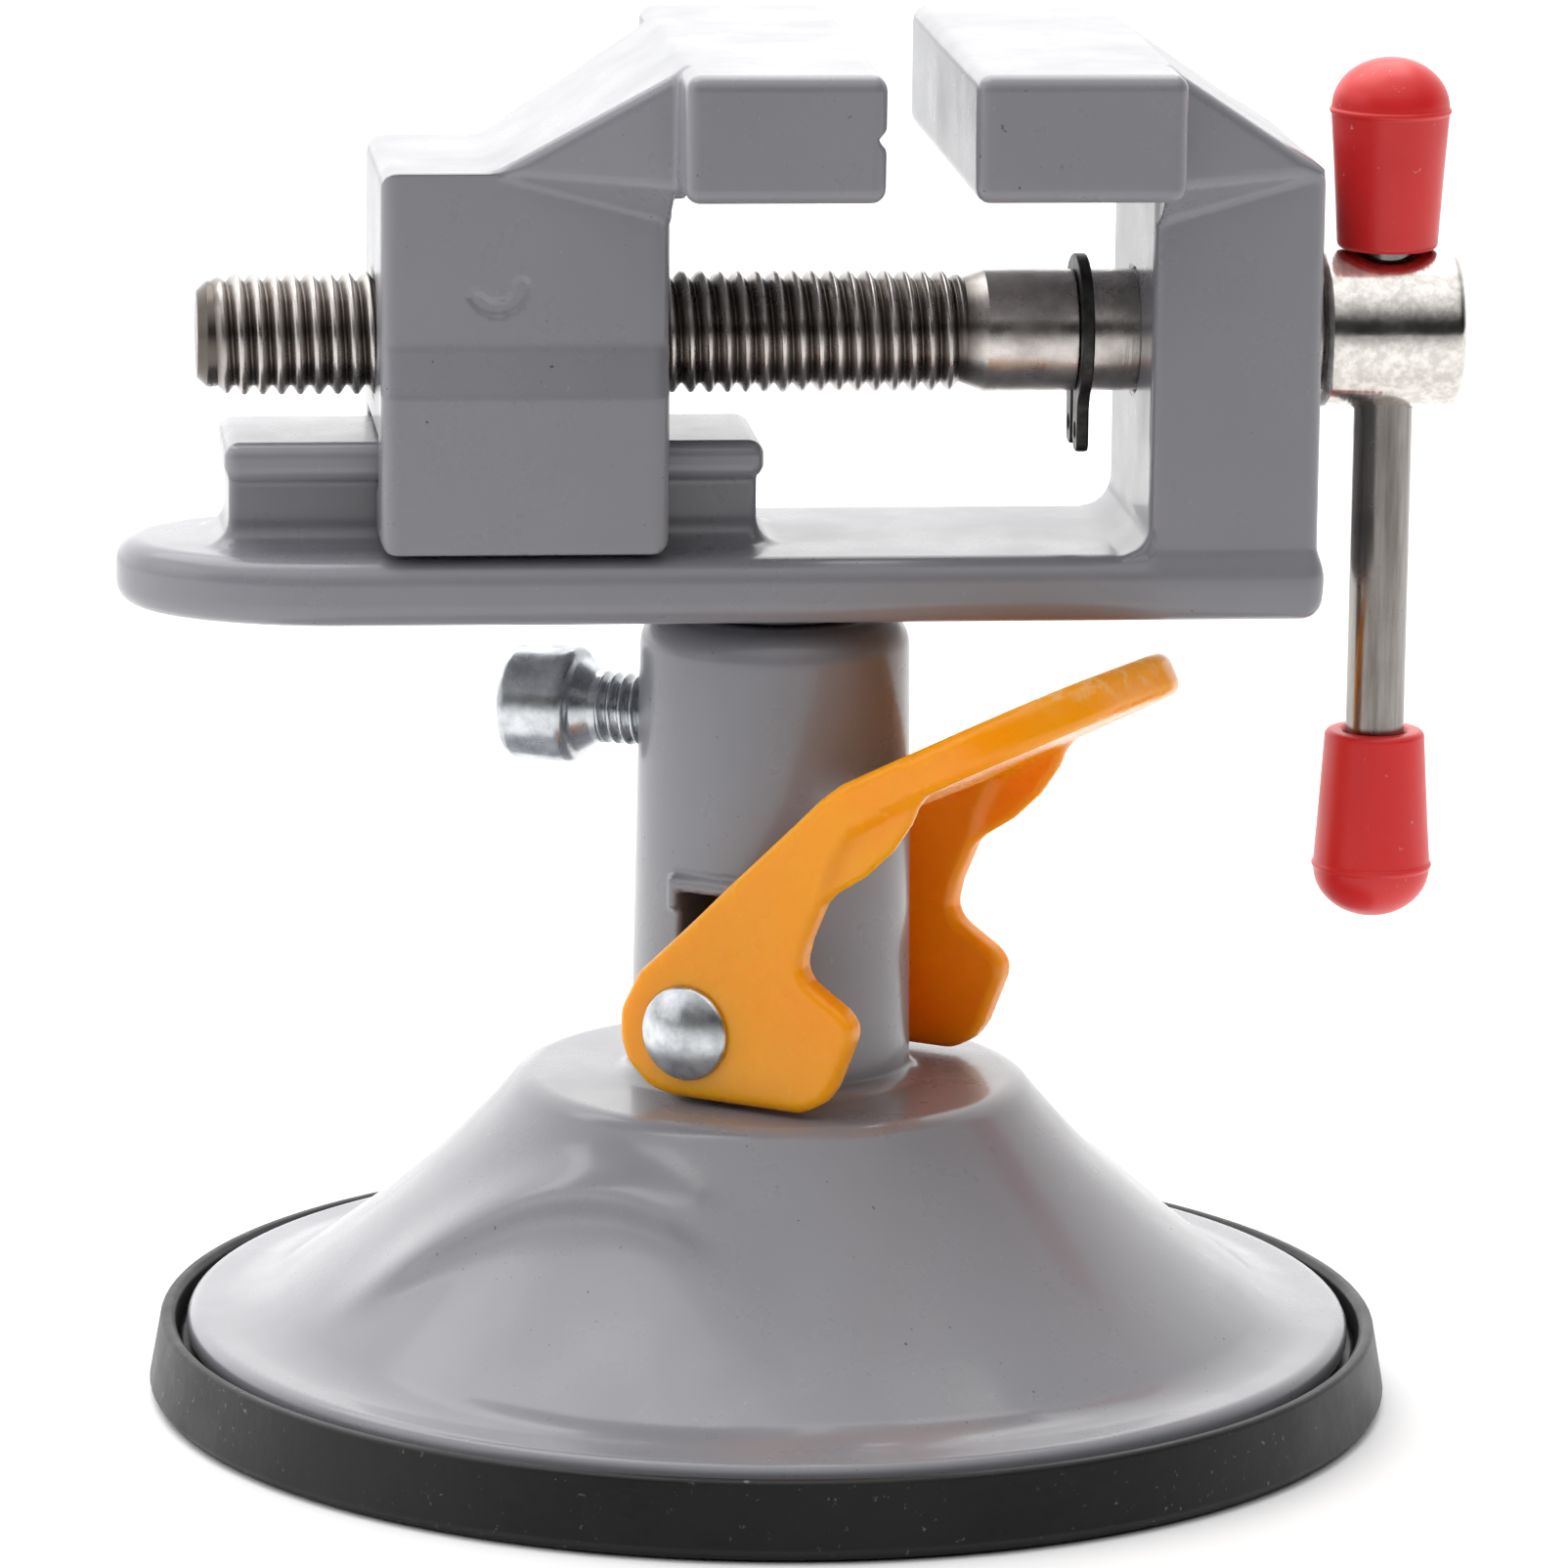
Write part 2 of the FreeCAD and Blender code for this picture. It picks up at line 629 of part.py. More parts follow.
def lead_screw():
    thread = thread_profile(SCREW_END_X + 1.0, THREAD_END_X, SCREW_PITCH, SCREW_R, SCREW_ROOT_R)
    g0, g1 = CIRCLIP_X
    h0, h1 = SCREW_HEAD_X
    outline = [(SCREW_END_X, 0), (SCREW_END_X, SCREW_ROOT_R - 0.6)] + thread
    outline += [
        (THREAD_END_X + 1.4, SCREW_ROOT_R),
        (THREAD_END_X + 3.0, SHANK_R),
        (g0 - 0.05, SHANK_R),
        (g0 - 0.05, CIRCLIP_GROOVE_R),
        (g1 + 0.05, CIRCLIP_GROOVE_R),
        (g1 + 0.05, SHANK_R),
        (h0, SHANK_R),
        (h0, SCREW_HEAD_R - 0.3),
        (h0 + 0.3, SCREW_HEAD_R),
        (h1 - 0.6, SCREW_HEAD_R),
        (h1, SCREW_HEAD_R - 0.6),
        (h1, 0),
    ]
    hole = Part.makeCylinder(BAR_HOLE_R, 4 * SCREW_HEAD_R, V(BAR_X, 0, SCREW_Z - 2 * SCREW_HEAD_R))
    return lathe_x(outline, SCREW_Z).cut(hole)


def circlip():
    x0, x1 = CIRCLIP_X
    ring = Part.makeCylinder(CIRCLIP_R, x1 - x0, V(x0, 0, SCREW_Z), X_AXIS)
    lug_w = CIRCLIP_GAP / 2 + CIRCLIP_LUG_W
    lugs = Part.makeBox(x1 - x0, 2 * lug_w, CIRCLIP_LUG_R - 4, V(x0, -lug_w, SCREW_Z - CIRCLIP_LUG_R))
    body = ring.fuse(lugs).removeSplitter()
    corners = edges_where(body, lambda e: all_at(e, "z", SCREW_Z - CIRCLIP_LUG_R) and e.Length < 1.5)
    body = body.makeFillet(0.9, corners)
    eye = Part.makeCylinder(CIRCLIP_GROOVE_R + 0.04, 4, V(x0 - 1, 0, SCREW_Z), X_AXIS)
    gap = block(x0 - 1, x1 + 1, CIRCLIP_GAP / 2, SCREW_Z - 2 * CIRCLIP_LUG_R, SCREW_Z)
    body = body.cut(eye).cut(gap)
    for side in (-1, 1):
        at = side * (CIRCLIP_GAP + CIRCLIP_LUG_W) / 2
        pin_hole = Part.makeCylinder(0.65, 4, V(x0 - 1, at, SCREW_Z - CIRCLIP_LUG_R + 1.7), X_AXIS)
        body = body.cut(pin_hole)
    return body


def t_bar():
    z0, z1 = BAR_Z
    bar = Part.makeCylinder(BAR_R, z1 - z0, V(BAR_X, 0, z0))
    return bar.makeChamfer(0.5, edges_where(bar, lambda e: e.Length > 10))


def bar_cap(mouth_z, sign):
    """Push-on cap; sign is +1 when its closed end points up."""
    end = CAP_LENGTH
    bore_end = abs(BAR_Z[1] - CAP_TOP_REST_Z) + 0.1
    outline = [
        (BAR_R + 0.03, 0),
        (CAP_MOUTH_R - 0.3, 0),
        (CAP_MOUTH_R, 0.3),
        (CAP_BEAD_R - 0.25, CAP_BEAD_AT - 0.5),
        (CAP_BEAD_R, CAP_BEAD_AT),
        (CAP_BEAD_R - 0.2, CAP_BEAD_AT + 0.5),
        (CAP_BEAD_R - 0.45, CAP_BEAD_AT + 1.6),
        (CAP_BEAD_R - 1.25, CAP_BEAD_AT + 3.1),
        (CAP_BEAD_R - 2.4, end - 0.35),
        (CAP_BEAD_R - 3.6, end - 0.05),
        (0, end),
        (0, bore_end),
        (BAR_R + 0.03, bore_end),
    ]
    profile = [V(BAR_X + r, 0, mouth_z + sign * h) for r, h in outline]
    return revolved(profile, V(BAR_X, 0, mouth_z), Z_AXIS)


def cap_upper():
    return bar_cap(CAP_TOP_REST_Z, 1)


def cap_lower():
    return bar_cap(BAR_Z[0] + BAR_Z[1] - CAP_TOP_REST_Z, -1)


# ---- clamp screw ------------------------------------------------------

def clamp_screw():
    t0, t1 = CLAMP_THREAD
    h0, h1 = CLAMP_HEAD
    thread = thread_profile(t0, t1, CLAMP_PITCH, CLAMP_R, CLAMP_ROOT_R)
    outline = [(CLAMP_TIP, 0), (CLAMP_TIP, CLAMP_DOG_R)] + thread
    outline += [
        (t1, CLAMP_R),
        (h0, CLAMP_COLLAR_R),
        (h0, CLAMP_HEAD_R),
        (h1 - CLAMP_HEAD_ROUND, CLAMP_HEAD_R),
        (h1 - CLAMP_HEAD_ROUND * 0.3, CLAMP_HEAD_R - CLAMP_HEAD_ROUND * 0.3),
        (h1, CLAMP_HEAD_R - CLAMP_HEAD_ROUND),
        (h1, 0),
    ]
    profile = [V(-at, 0, CLAMP_Z + r) for at, r in outline]
    body = revolved(profile, V(0, 0, CLAMP_Z), X_AXIS)
    across = HEX_AF / math.sqrt(3)
    corners = []
    for i in range(7):
        turn = math.radians(60 * i)
        corners.append(V(-h1, across * math.cos(turn), CLAMP_Z + across * math.sin(turn)))
    socket = Part.Face(Part.makePolygon(corners)).extrude(V(HEX_DEPTH, 0, 0))
    return yawed(body.cut(socket), -CLAMP_YAW)


NODES = {
    "suction_cup": suction_cup,
    "dome_base": dome_base,
    "cup_stem": cup_stem,
    "lever_pin": lever_pin,
    "cam_lever": cam_lever,
    "vise_frame": vise_frame,
    "moving_jaw": moving_jaw,
    "lead_screw": lead_screw,
    "circlip": circlip,
    "t_bar": t_bar,
    "cap_upper": cap_upper,
    "cap_lower": cap_lower,
    "clamp_screw": clamp_screw,
}

os.makedirs("parts", exist_ok=True)
for name, make in NODES.items():
    shape = make()
    shape.translate(V(0, 0, -CUP_BOTTOM_Z))
    box = shape.BoundBox
    print(name, len(shape.Solids), shape.isValid(), round(shape.Volume, 1), box)
    shape.exportStep("parts/" + name + ".step")
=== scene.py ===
import math

import bpy
import numpy as np
from mathutils import Matrix, Vector


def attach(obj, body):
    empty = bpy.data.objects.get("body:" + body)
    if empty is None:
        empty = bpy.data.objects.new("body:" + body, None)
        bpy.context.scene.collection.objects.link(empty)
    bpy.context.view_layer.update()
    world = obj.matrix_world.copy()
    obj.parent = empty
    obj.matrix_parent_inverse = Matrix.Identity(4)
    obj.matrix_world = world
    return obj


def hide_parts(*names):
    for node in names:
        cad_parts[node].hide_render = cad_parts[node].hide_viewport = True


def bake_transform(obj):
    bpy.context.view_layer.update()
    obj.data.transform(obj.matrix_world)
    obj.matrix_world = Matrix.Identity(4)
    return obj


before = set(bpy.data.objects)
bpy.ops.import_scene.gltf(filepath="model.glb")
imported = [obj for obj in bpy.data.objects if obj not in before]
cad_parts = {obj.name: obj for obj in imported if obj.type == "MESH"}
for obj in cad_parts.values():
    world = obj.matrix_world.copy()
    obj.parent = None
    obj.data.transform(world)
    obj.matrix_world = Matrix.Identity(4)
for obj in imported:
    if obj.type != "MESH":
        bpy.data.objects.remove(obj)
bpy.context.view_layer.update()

# Lengths are millimetres until a mesh is made, from the underside of the casting's cup seat.
# The cup reaches ROW_LIFT below that, so every mesh is lifted by as much into the row frame.
# +Z up the column, +X along the lead screw towards its T-bar, +Y to the back.
MM = 0.001
ROW_LIFT = 1.6

# column, tapering from its foot to its top
COLUMN_R = (11.45, 10.95)
COLUMN_Z = (25.1, 63.5)
RIM_R = 47.9
RIM_Z = (2.7, 5.3)
DOME_TOP_Z = 25.1
# axes of the lever pin, the clamp screw, the lead screw and the T-bar
PIN_Z = 31.1
PIN_YAW = math.radians(34.5)
CLAMP_YAW = math.radians(26.0)
CLAMP_Z = 54.3
SCREW_Z = 86.5
BAR_X = 49.6
# bed and jaws
PLATE_HALF_W = 12.7
JAW_HALF_W = 23.0
JAW_Z = (100.1, 110.2)

# a rounded corner takes at most this share of an edge, and one cut by less stays sharp
CORNER_ROOM = 0.48
LEAST_CUT = 0.02
# how points are moved onto a surface
SETTLE_PASSES = 3
SETTLE_STEP = 0.04
LEAST_SLOPE = 0.2
# a thread's tooth and its run-outs, in shares of the pitch, and what is left of a tooth there
TOOTH_FLANK = 0.42
RUN_IN = 1.2
RUN_OUT = 0.8
FADED_TOOTH = 0.15


# ---- solids as distance fields ----------------------------------------

def join(a, b, r):
    """Union of two fields with a fillet of radius r between them."""
    u = np.maximum(r - a, 0)
    v = np.maximum(r - b, 0)
    return np.maximum(r, np.minimum(a, b)) - np.sqrt(u * u + v * v)


def meet(a, b, r):
    """Intersection of two fields with its edges rounded to radius r."""
    u = np.maximum(r + a, 0)
    v = np.maximum(r + b, 0)
    return np.minimum(-r, np.maximum(a, b)) + np.sqrt(u * u + v * v)


def carve(a, tool, r):
    return meet(a, -tool, r)


def slab(v, low, high):
    return np.abs(v - (low + high) / 2) - (high - low) / 2


def rod(u, v, radius):
    return np.sqrt(u * u + v * v) - radius


def round_rect(u, v, half_u, half_v, r):
    p = np.abs(u) - half_u + r
    q = np.abs(v) - half_v + r
    outside = np.sqrt(np.maximum(p, 0) ** 2 + np.maximum(q, 0) ** 2)
    return outside + np.minimum(np.maximum(p, q), 0) - r


def block(x, y, z, low, high, r):
    parts = []
    for v, a, b in zip((x, y, z), low, high):
        parts.append(np.abs(v - (a + b) / 2) - (b - a) / 2 + r)
    p, q, s = parts
    outside = np.sqrt(np.maximum(p, 0) ** 2 + np.maximum(q, 0) ** 2 + np.maximum(s, 0) ** 2)
    return outside + np.minimum(np.maximum(np.maximum(p, q), s), 0) - r


def polygon(u, v, points):
    """Signed distance to a closed polygon in the plane of u and v."""
    best = None
    sign = 1.0
    for (au, av), (bu, bv) in zip(points, points[1:] + points[:1]):
        eu, ev = bu - au, bv - av
        wu, wv = u - au, v - av
        t = np.clip((wu * eu + wv * ev) / (eu * eu + ev * ev), 0, 1)
        d = (wu - eu * t) ** 2 + (wv - ev * t) ** 2
        best = d if best is None else np.minimum(best, d)
        above, below, left = v >= av, v < bv, eu * wv > ev * wu
        flip = (above & below & left) | (~above & ~below & ~left)
        sign = np.where(flip, -sign, sign)
    return sign * np.sqrt(best)


def eased(points, r, steps=2):
    """A closed outline with its corners turned into short arcs of radius r."""
    pts = [np.array(p, float) for p in points]
    out = []
    for i, here in enumerate(pts):
        before, after = here - pts[i - 1], pts[(i + 1) % len(pts)] - here
        room = CORNER_ROOM * min(np.linalg.norm(before), np.linalg.norm(after))
        d, e = before / np.linalg.norm(before), after / np.linalg.norm(after)
        turn = math.atan2(d[0] * e[1] - d[1] * e[0], float(d @ e))
        cut = min(r * abs(math.tan(turn / 2)), room)
        if cut < LEAST_CUT:
            out.append(tuple(here))
            continue
        start, end = here - d * cut, here + e * cut
        for k in range(steps + 1):
            t = k / steps
            out.append(tuple((1 - t) ** 2 * start + 2 * t * (1 - t) * here + t * t * end))
    return out


def plane(x, y, z, a, b, c, inside):
    """Distance beyond the plane through three points; the point inside is negative."""
    a, b, c, inside = (np.array(p, float) for p in (a, b, c, inside))
    n = np.cross(b - a, c - a)
    n = n / np.linalg.norm(n)
    if n @ (inside - a) > 0:
        n = -n
    return (x - a[0]) * n[0] + (y - a[1]) * n[1] + (z - a[2]) * n[2]


def soft_step(t):
    t = np.clip(t, 0, 1)
    return t * t * (3 - 2 * t)


def soft_ramp(v, low, high):
    """Rises smoothly from 0 at low to 1 at high."""
    return soft_step((v - low) / (high - low))


# ---- meshes from fields -----------------------------------------------

def cell_ring(index, axis, counts):
    """Flat ids of the four cells round each grid edge, in turning order."""
    b, c = (axis + 1) % 3, (axis + 2) % 3
    ids = []
    for db, dc in ((0, 0), (-1, 0), (-1, -1), (0, -1)):
        cell = index.copy()
        cell[:, b] += db
        cell[:, c] += dc
        ids.append((cell[:, 0] * counts[1] + cell[:, 1]) * counts[2] + cell[:, 2])
    return np.stack(ids, 1)


def crossings(values, axis):
    """Grid edges along an axis that the surface crosses, where, and which way it faces."""
    low = [slice(None)] * 3
    high = [slice(None)] * 3
    low[axis], high[axis] = slice(0, -1), slice(1, None)
    a, b = values[tuple(low)], values[tuple(high)]
    index = np.argwhere((a < 0) != (b < 0))
    va = a[tuple(index.T)].astype(float)
    vb = b[tuple(index.T)].astype(float)
    at = index.astype(float)
    at[:, axis] += va / (va - vb)
    return index, at, va < 0


def slope(field, p, h):
    """Gradient of the field at points, over a reach of h each way."""
    g = np.empty_like(p)
    for i in range(3):
        step = np.zeros(3)
        step[i] = h
        ahead, behind = p + step, p - step
        g[:, i] = field(*ahead.T) - field(*behind.T)
    return g / (2 * h)


def settle(field, p, reach):
    """Moves points onto the surface of the field."""
    for _ in range(SETTLE_PASSES):
        g = slope(field, p, SETTLE_STEP)
        f = field(*p.T)
        move = f / np.maximum((g * g).sum(1), LEAST_SLOPE)
        p = p - np.clip(move, -reach, reach)[:, None] * g
    return p


def skin(field, low, high, step):
    """Vertices, quads and normals of the surface where the field is zero."""
    axes = [np.arange(a - 2 * step, b + 3 * step, step) for a, b in zip(low, high)]
    counts = [len(a) for a in axes]
    x, y, z = (a.reshape([-1 if i == k else 1 for i in range(3)]) for k, a in enumerate(axes))
    values = np.broadcast_to(field(x, y, z), counts).astype(np.float32)
    rings, points = [], []
    for axis in range(3):
        index, at, outward = crossings(values, axis)
        ring = cell_ring(index, axis, counts)
        rings.append(np.where(outward[:, None], ring, ring[:, ::-1]))
        points.append(np.repeat(at[:, None, :], 4, 1))
    quads = np.concatenate(rings)
    ids, slot = np.unique(quads.ravel(), return_inverse=True)
    slot = slot.ravel()
    at = np.concatenate(points).reshape(-1, 3)
    many = np.bincount(slot)
    mean = np.stack([np.bincount(slot, at[:, i]) / many for i in range(3)], 1)
    start = np.array([a[0] for a in axes])
    p = settle(field, start + mean * step, step * 0.6)
    n = slope(field, p, step * 0.35)
    n = n / np.maximum(np.linalg.norm(n, axis=1), 1e-9)[:, None]
    return p, slot.reshape(-1, 4), n


def turned(p, n, yaw, lift=0.0):
    """Turns points and normals about the column axis, then lifts them."""
    c, s = math.cos(yaw), math.sin(yaw)
    r = np.array([[c, -s, 0], [s, c, 0], [0, 0, 1]])
    return p @ r.T + np.array([0, 0, lift]), n @ r.T


def rounded(points, r, steps=5):
    """A profile's corners rounded; each row is along, out and the normal there."""
    rows = []
    pts = [np.array(p, float) for p in points]
    for i in range(len(pts) - 1):
        d = pts[i + 1] - pts[i]
        d = d / np.linalg.norm(d)
        normal = np.array([-d[1], d[0]])
        if i == 0:
            rows.append((*pts[0], *normal))
        if i + 2 == len(pts):
            rows.append((*pts[-1], *normal))
            break
        e = pts[i + 2] - pts[i + 1]
        room = CORNER_ROOM * min(np.linalg.norm(pts[i + 1] - pts[i]), np.linalg.norm(e))
        e = e / np.linalg.norm(e)
        turn = math.atan2(d[0] * e[1] - d[1] * e[0], float(d @ e))
        cut = min(r * abs(math.tan(turn / 2)), room)
        radius = cut / max(abs(math.tan(turn / 2)), 1e-6)
        start = pts[i + 1] - d * cut
        side = 1.0 if turn > 0 else -1.0
        centre = start + side * normal * radius
        for k in range(steps + 1):
            a = turn * k / steps
            m = np.array([
                normal[0] * math.cos(a) - normal[1] * math.sin(a),
                normal[0] * math.sin(a) + normal[1] * math.cos(a),
            ])
            rows.append((*(centre - side * m * radius), *m))
    return np.array(rows)


def axes_for(direction):
    """A unit axis and two more square to it, right-handed."""
    a = np.array(direction, float)
    a = a / np.linalg.norm(a)
    helper = np.array([0, 0, 1.0]) if abs(a[2]) < 0.9 else np.array([0, 1.0, 0])
    u = np.cross(helper, a)
    u = u / np.linalg.norm(u)
    return a, u, np.cross(a, u)


def lathe(rows, origin, direction, around=72):
    """Turns rounded() rows about an axis. The profile runs along the axis with out on its left."""
    a, u, v = axes_for(direction)
    turn = np.linspace(0, 2 * np.pi, around, endpoint=False)
    ring = np.cos(turn)[:, None] * u + np.sin(turn)[:, None] * v
    along, out, na, no = rows.T
    p = np.array(origin) + along[:, None, None] * a + out[:, None, None] * ring
    n = na[:, None, None] * a + no[:, None, None] * ring
    return p.reshape(-1, 3), grid_quads(len(rows), around), n.reshape(-1, 3)


def grid_quads(rows, around):
    """Quads of a tube of rows, each closed round."""
    i = np.arange(rows - 1)[:, None]
    j = np.arange(around)[None, :]
    k = (j + 1) % around
    quads = np.stack([i * around + j, i * around + k, (i + 1) * around + k, (i + 1) * around + j], 2)
    return quads.reshape(-1, 4)


def thread(start, end, pitch, crest, root, origin, direction, around=60, per_turn=10):
    """Right-hand thread as a ridged tube with run-outs at both ends."""
    a, u, v = axes_for(direction)
    count = int((end - start) / pitch * per_turn)
    along = np.linspace(start, end, count)[:, None]
    turn = np.linspace(0, 2 * np.pi, around, endpoint=False)[None, :]
    phase = (along / pitch - turn / (2 * np.pi)) % 1.0
    tooth = np.clip((0.5 - np.abs(phase - 0.5)) / TOOTH_FLANK, 0, 1)
    tooth = soft_step(tooth) * 0.5 + tooth * 0.5
    fade_in = np.clip((along - start) / (RUN_IN * pitch), 0, 1)
    fade = fade_in * np.clip((end - along) / (RUN_OUT * pitch), 0, 1)
    out = root + (crest - root) * tooth * (FADED_TOOTH + (1 - FADED_TOOTH) * fade)
    ring = np.cos(turn)[..., None] * u + np.sin(turn)[..., None] * v
    p = np.array(origin) + along[..., None] * a + out[..., None] * ring
    return p.reshape(-1, 3), grid_quads(count, around), None


def mesh_normals(p, quads):
    """Area-weighted vertex normals."""
    q = p[quads]
    face = np.cross(q[:, 2] - q[:, 0], q[:, 3] - q[:, 1])
    n = np.zeros_like(p)
    for k in range(4):
        np.add.at(n, quads[:, k], face)
    return n / np.maximum(np.linalg.norm(n, axis=1), 1e-12)[:, None]


def piece(name, *shells):
    """One mesh object out of (points, quads, normals) shells."""
    points, quads, normals, base = [], [], [], 0
    for p, q, n in shells:
        points.append(p)
        quads.append(q + base)
        normals.append(mesh_normals(p, q) if n is None else n)
        base += len(p)
    p, q, n = (np.concatenate(part) for part in (points, quads, normals))
    mesh = bpy.data.meshes.new(name)
    mesh.from_pydata(((p + (0, 0, ROW_LIFT)) * MM).tolist(), [], q.tolist())
    mesh.validate()
    mesh.polygons.foreach_set("use_smooth", [True] * len(mesh.polygons))
    if len(mesh.vertices) == len(n):
        mesh.normals_split_custom_set_from_vertices(n.tolist())
    made = bpy.data.objects.new(name, mesh)
    bpy.context.scene.collection.objects.link(made)
    return made


# ---- base -------------------------------------------------------------

FLANK = [(43.6, 4.6), (41.6, 6.2), (36.4, 9.9), (31.4, 13.6), (27.4, 17.6), (23.6, 21.4), (20.6, 25.0)]
FLANK_FIT = np.polyfit([r for r, z in FLANK], [z for r, z in FLANK], 3)
FLANK_RATE = np.polyder(FLANK_FIT)
# radii between which the fitted flank and its slope are used, and where the flank ends
FLANK_FIT_R = (19, 47)
FLANK_RATE_R = (20, 46)
FLANK_OUT_R = 45.4
DOME_TOP_ROUND = 0.9
RIM_ROUND = 1.1
FOOT_FILLET = 1.3
CAVITY = [
    (0, 0), (41.8, 0), (41.5, 2.7), (34.0, 7.6), (28.6, 12.4), (24.4, 16.8), (19.6, 21.6), (0, 21.6),
]
# the arch is a bead along a parabola, which fades out low down, towards the column and on its
# short arm
ARCH_PEAK_Z = 21.4
ARCH_FALL = 0.0235
ARCH_BEAD = 1.1
ARCH_BEAD_IN = 0.9
ARCH_BEAD_W = 1.9
ARCH_FADE_Z = (6.5, 15.5)
ARCH_FADE_ALONG = (12.0, 18.0)
ARCH_SHORT_ARM = (5.0, 17.0)
COLUMN_ROOT_Z = 20.0
COLUMN_ROUND = 2.6
SLOT_HALF_W = 2.5
SLOT_Z = (28.3, 42.0)
# the raised lintel over the slot, half its width and half its length along the pin
LINTEL_HALF = (3.4, 11.75)
LINTEL_Z = (40.4, 43.2)
SOCKET_R = 6.08
SOCKET_Z = (45.8, 80.0)
STEM_BORE_R = 5.3
CLAMP_BORE_R = 3.03
CLAMP_SPOT_R = 4.3
CLAMP_SPOT_X = 10.35


def pin_frame(x, y):
    """Coordinates across and along the lever pin."""
    c, s = math.cos(PIN_YAW), math.sin(PIN_YAW)
    return x * c - y * s, x * s + y * c


def arch_offset(x, y, z):
    """How far the dome's skin stands proud at the arched panels under the pin's ends."""
    across, along = pin_frame(x, y)
    edge = (ARCH_PEAK_Z - ARCH_FALL * across ** 2 - z) / np.sqrt(1 + (2 * ARCH_FALL * across) ** 2)
    fade = soft_ramp(z, *ARCH_FADE_Z) * soft_ramp(np.abs(along), *ARCH_FADE_ALONG)
    short_arm = 1 - soft_ramp(-across * np.sign(along), *ARCH_SHORT_ARM)
    return ARCH_BEAD * np.exp(-((edge - ARCH_BEAD_IN) / ARCH_BEAD_W) ** 2) * short_arm * fade


def dome_skin(x, y, z):
    r = np.sqrt(x * x + y * y)
    rate = np.polyval(FLANK_RATE, np.clip(r, *FLANK_RATE_R))
    flank = (z - np.polyval(FLANK_FIT, np.clip(r, *FLANK_FIT_R))) / np.sqrt(1 + rate * rate)
    flank = flank - arch_offset(x, y, z)
    flank = meet(flank, z - DOME_TOP_Z, DOME_TOP_ROUND)
    flank = np.maximum(flank, r - FLANK_OUT_R)
    flange = meet(r - RIM_R, slab(z, *RIM_Z), RIM_ROUND)
    return join(flank, flange, FOOT_FILLET)


def dome_field(x, y, z):
    r = np.sqrt(x * x + y * y)
    cavity = polygon(r, z, CAVITY)
    taper = (COLUMN_R[0] - COLUMN_R[1]) / (COLUMN_Z[1] - COLUMN_Z[0])
    column = r - (COLUMN_R[0] - taper * (z - COLUMN_Z[0]))
    column = meet(column, slab(z, COLUMN_ROOT_Z, COLUMN_Z[1]), COLUMN_ROUND)
    body = join(carve(dome_skin(x, y, z), cavity, 0.5), column, FOOT_FILLET)
    across, along = pin_frame(x, y)
    low, high = (-LINTEL_HALF[0], -LINTEL_HALF[1], LINTEL_Z[0]), (*LINTEL_HALF, LINTEL_Z[1])
    body = join(body, block(across, along, z, low, high, 0.45), 0.5)
    slot = block(across, along, z, (-SLOT_HALF_W, -30, SLOT_Z[0]), (SLOT_HALF_W, 30, SLOT_Z[1]), 0.3)
    body = carve(body, slot, 0.35)
    socket = meet(r - SOCKET_R, slab(z, *SOCKET_Z), 0.2)
    body = carve(body, np.minimum(socket, r - STEM_BORE_R), 0.35)
    c, s = math.cos(CLAMP_YAW), math.sin(CLAMP_YAW)
    out, side = -x * c + y * s, x * s + y * c
    bore = np.maximum(rod(side, z - CLAMP_Z, CLAMP_BORE_R), -out)
    spot = np.maximum(rod(side, z - CLAMP_Z, CLAMP_SPOT_R), CLAMP_SPOT_X - out)
    return carve(body, np.minimum(bore, spot), 0.25)


def dome_base():
    shell = skin(dome_field, (-48, -48, RIM_Z[0]), (48, 48, COLUMN_Z[1]), 0.5)
    return piece("dome_base_skin", shell)


def suction_cup():
    """Hub, web, upturned lip and the rim on the bench, as height and radius."""
    profile = [
        (6.4, 0.0), (6.4, 14.6), (3.2, 17.4), (2.6, 20.0), (2.4, 48.5), (4.3, 48.85), (4.7, 49.3),
        (4.65, 50.05), (-0.8, 51.0), (-1.6, 50.45), (-1.6, 43.5), (-1.0, 37.0), (-0.6, 15.0),
        (-1.6, 8.0), (-1.6, 0.0),
    ]
    shell = lathe(rounded(profile, 0.5, 4), (0, 0, 0), (0, 0, 1), 120)
    return piece("suction_cup_rubber", shell)


def lever_pin():
    """A pin with a low domed head at each end, outside the lever's arms."""
    tip = 15.95
    side = [
        (tip, 0.0), (tip - 0.08, 1.0), (tip - 0.35, 2.1), (tip - 0.85, 3.2),
        (14.7, 3.85), (ARM_OUT, 3.93), (ARM_OUT, 2.0),
    ]
    profile = [(-a, r) for a, r in side] + side[::-1]
    rows = rounded(profile, 9.0, 3)
    axis = (math.sin(PIN_YAW), math.cos(PIN_YAW), 0)
    return piece("lever_pin_zinc", lathe(rows, (0, 0, PIN_Z), axis, 64))


# ---- cam lever --------------------------------------------------------

ARM_IN = 11.8
ARM_OUT = 14.25
ARM_ROUND = 0.75
WEB_Y = (12.2, 13.5)
PIN_HOLE_R = 2.08
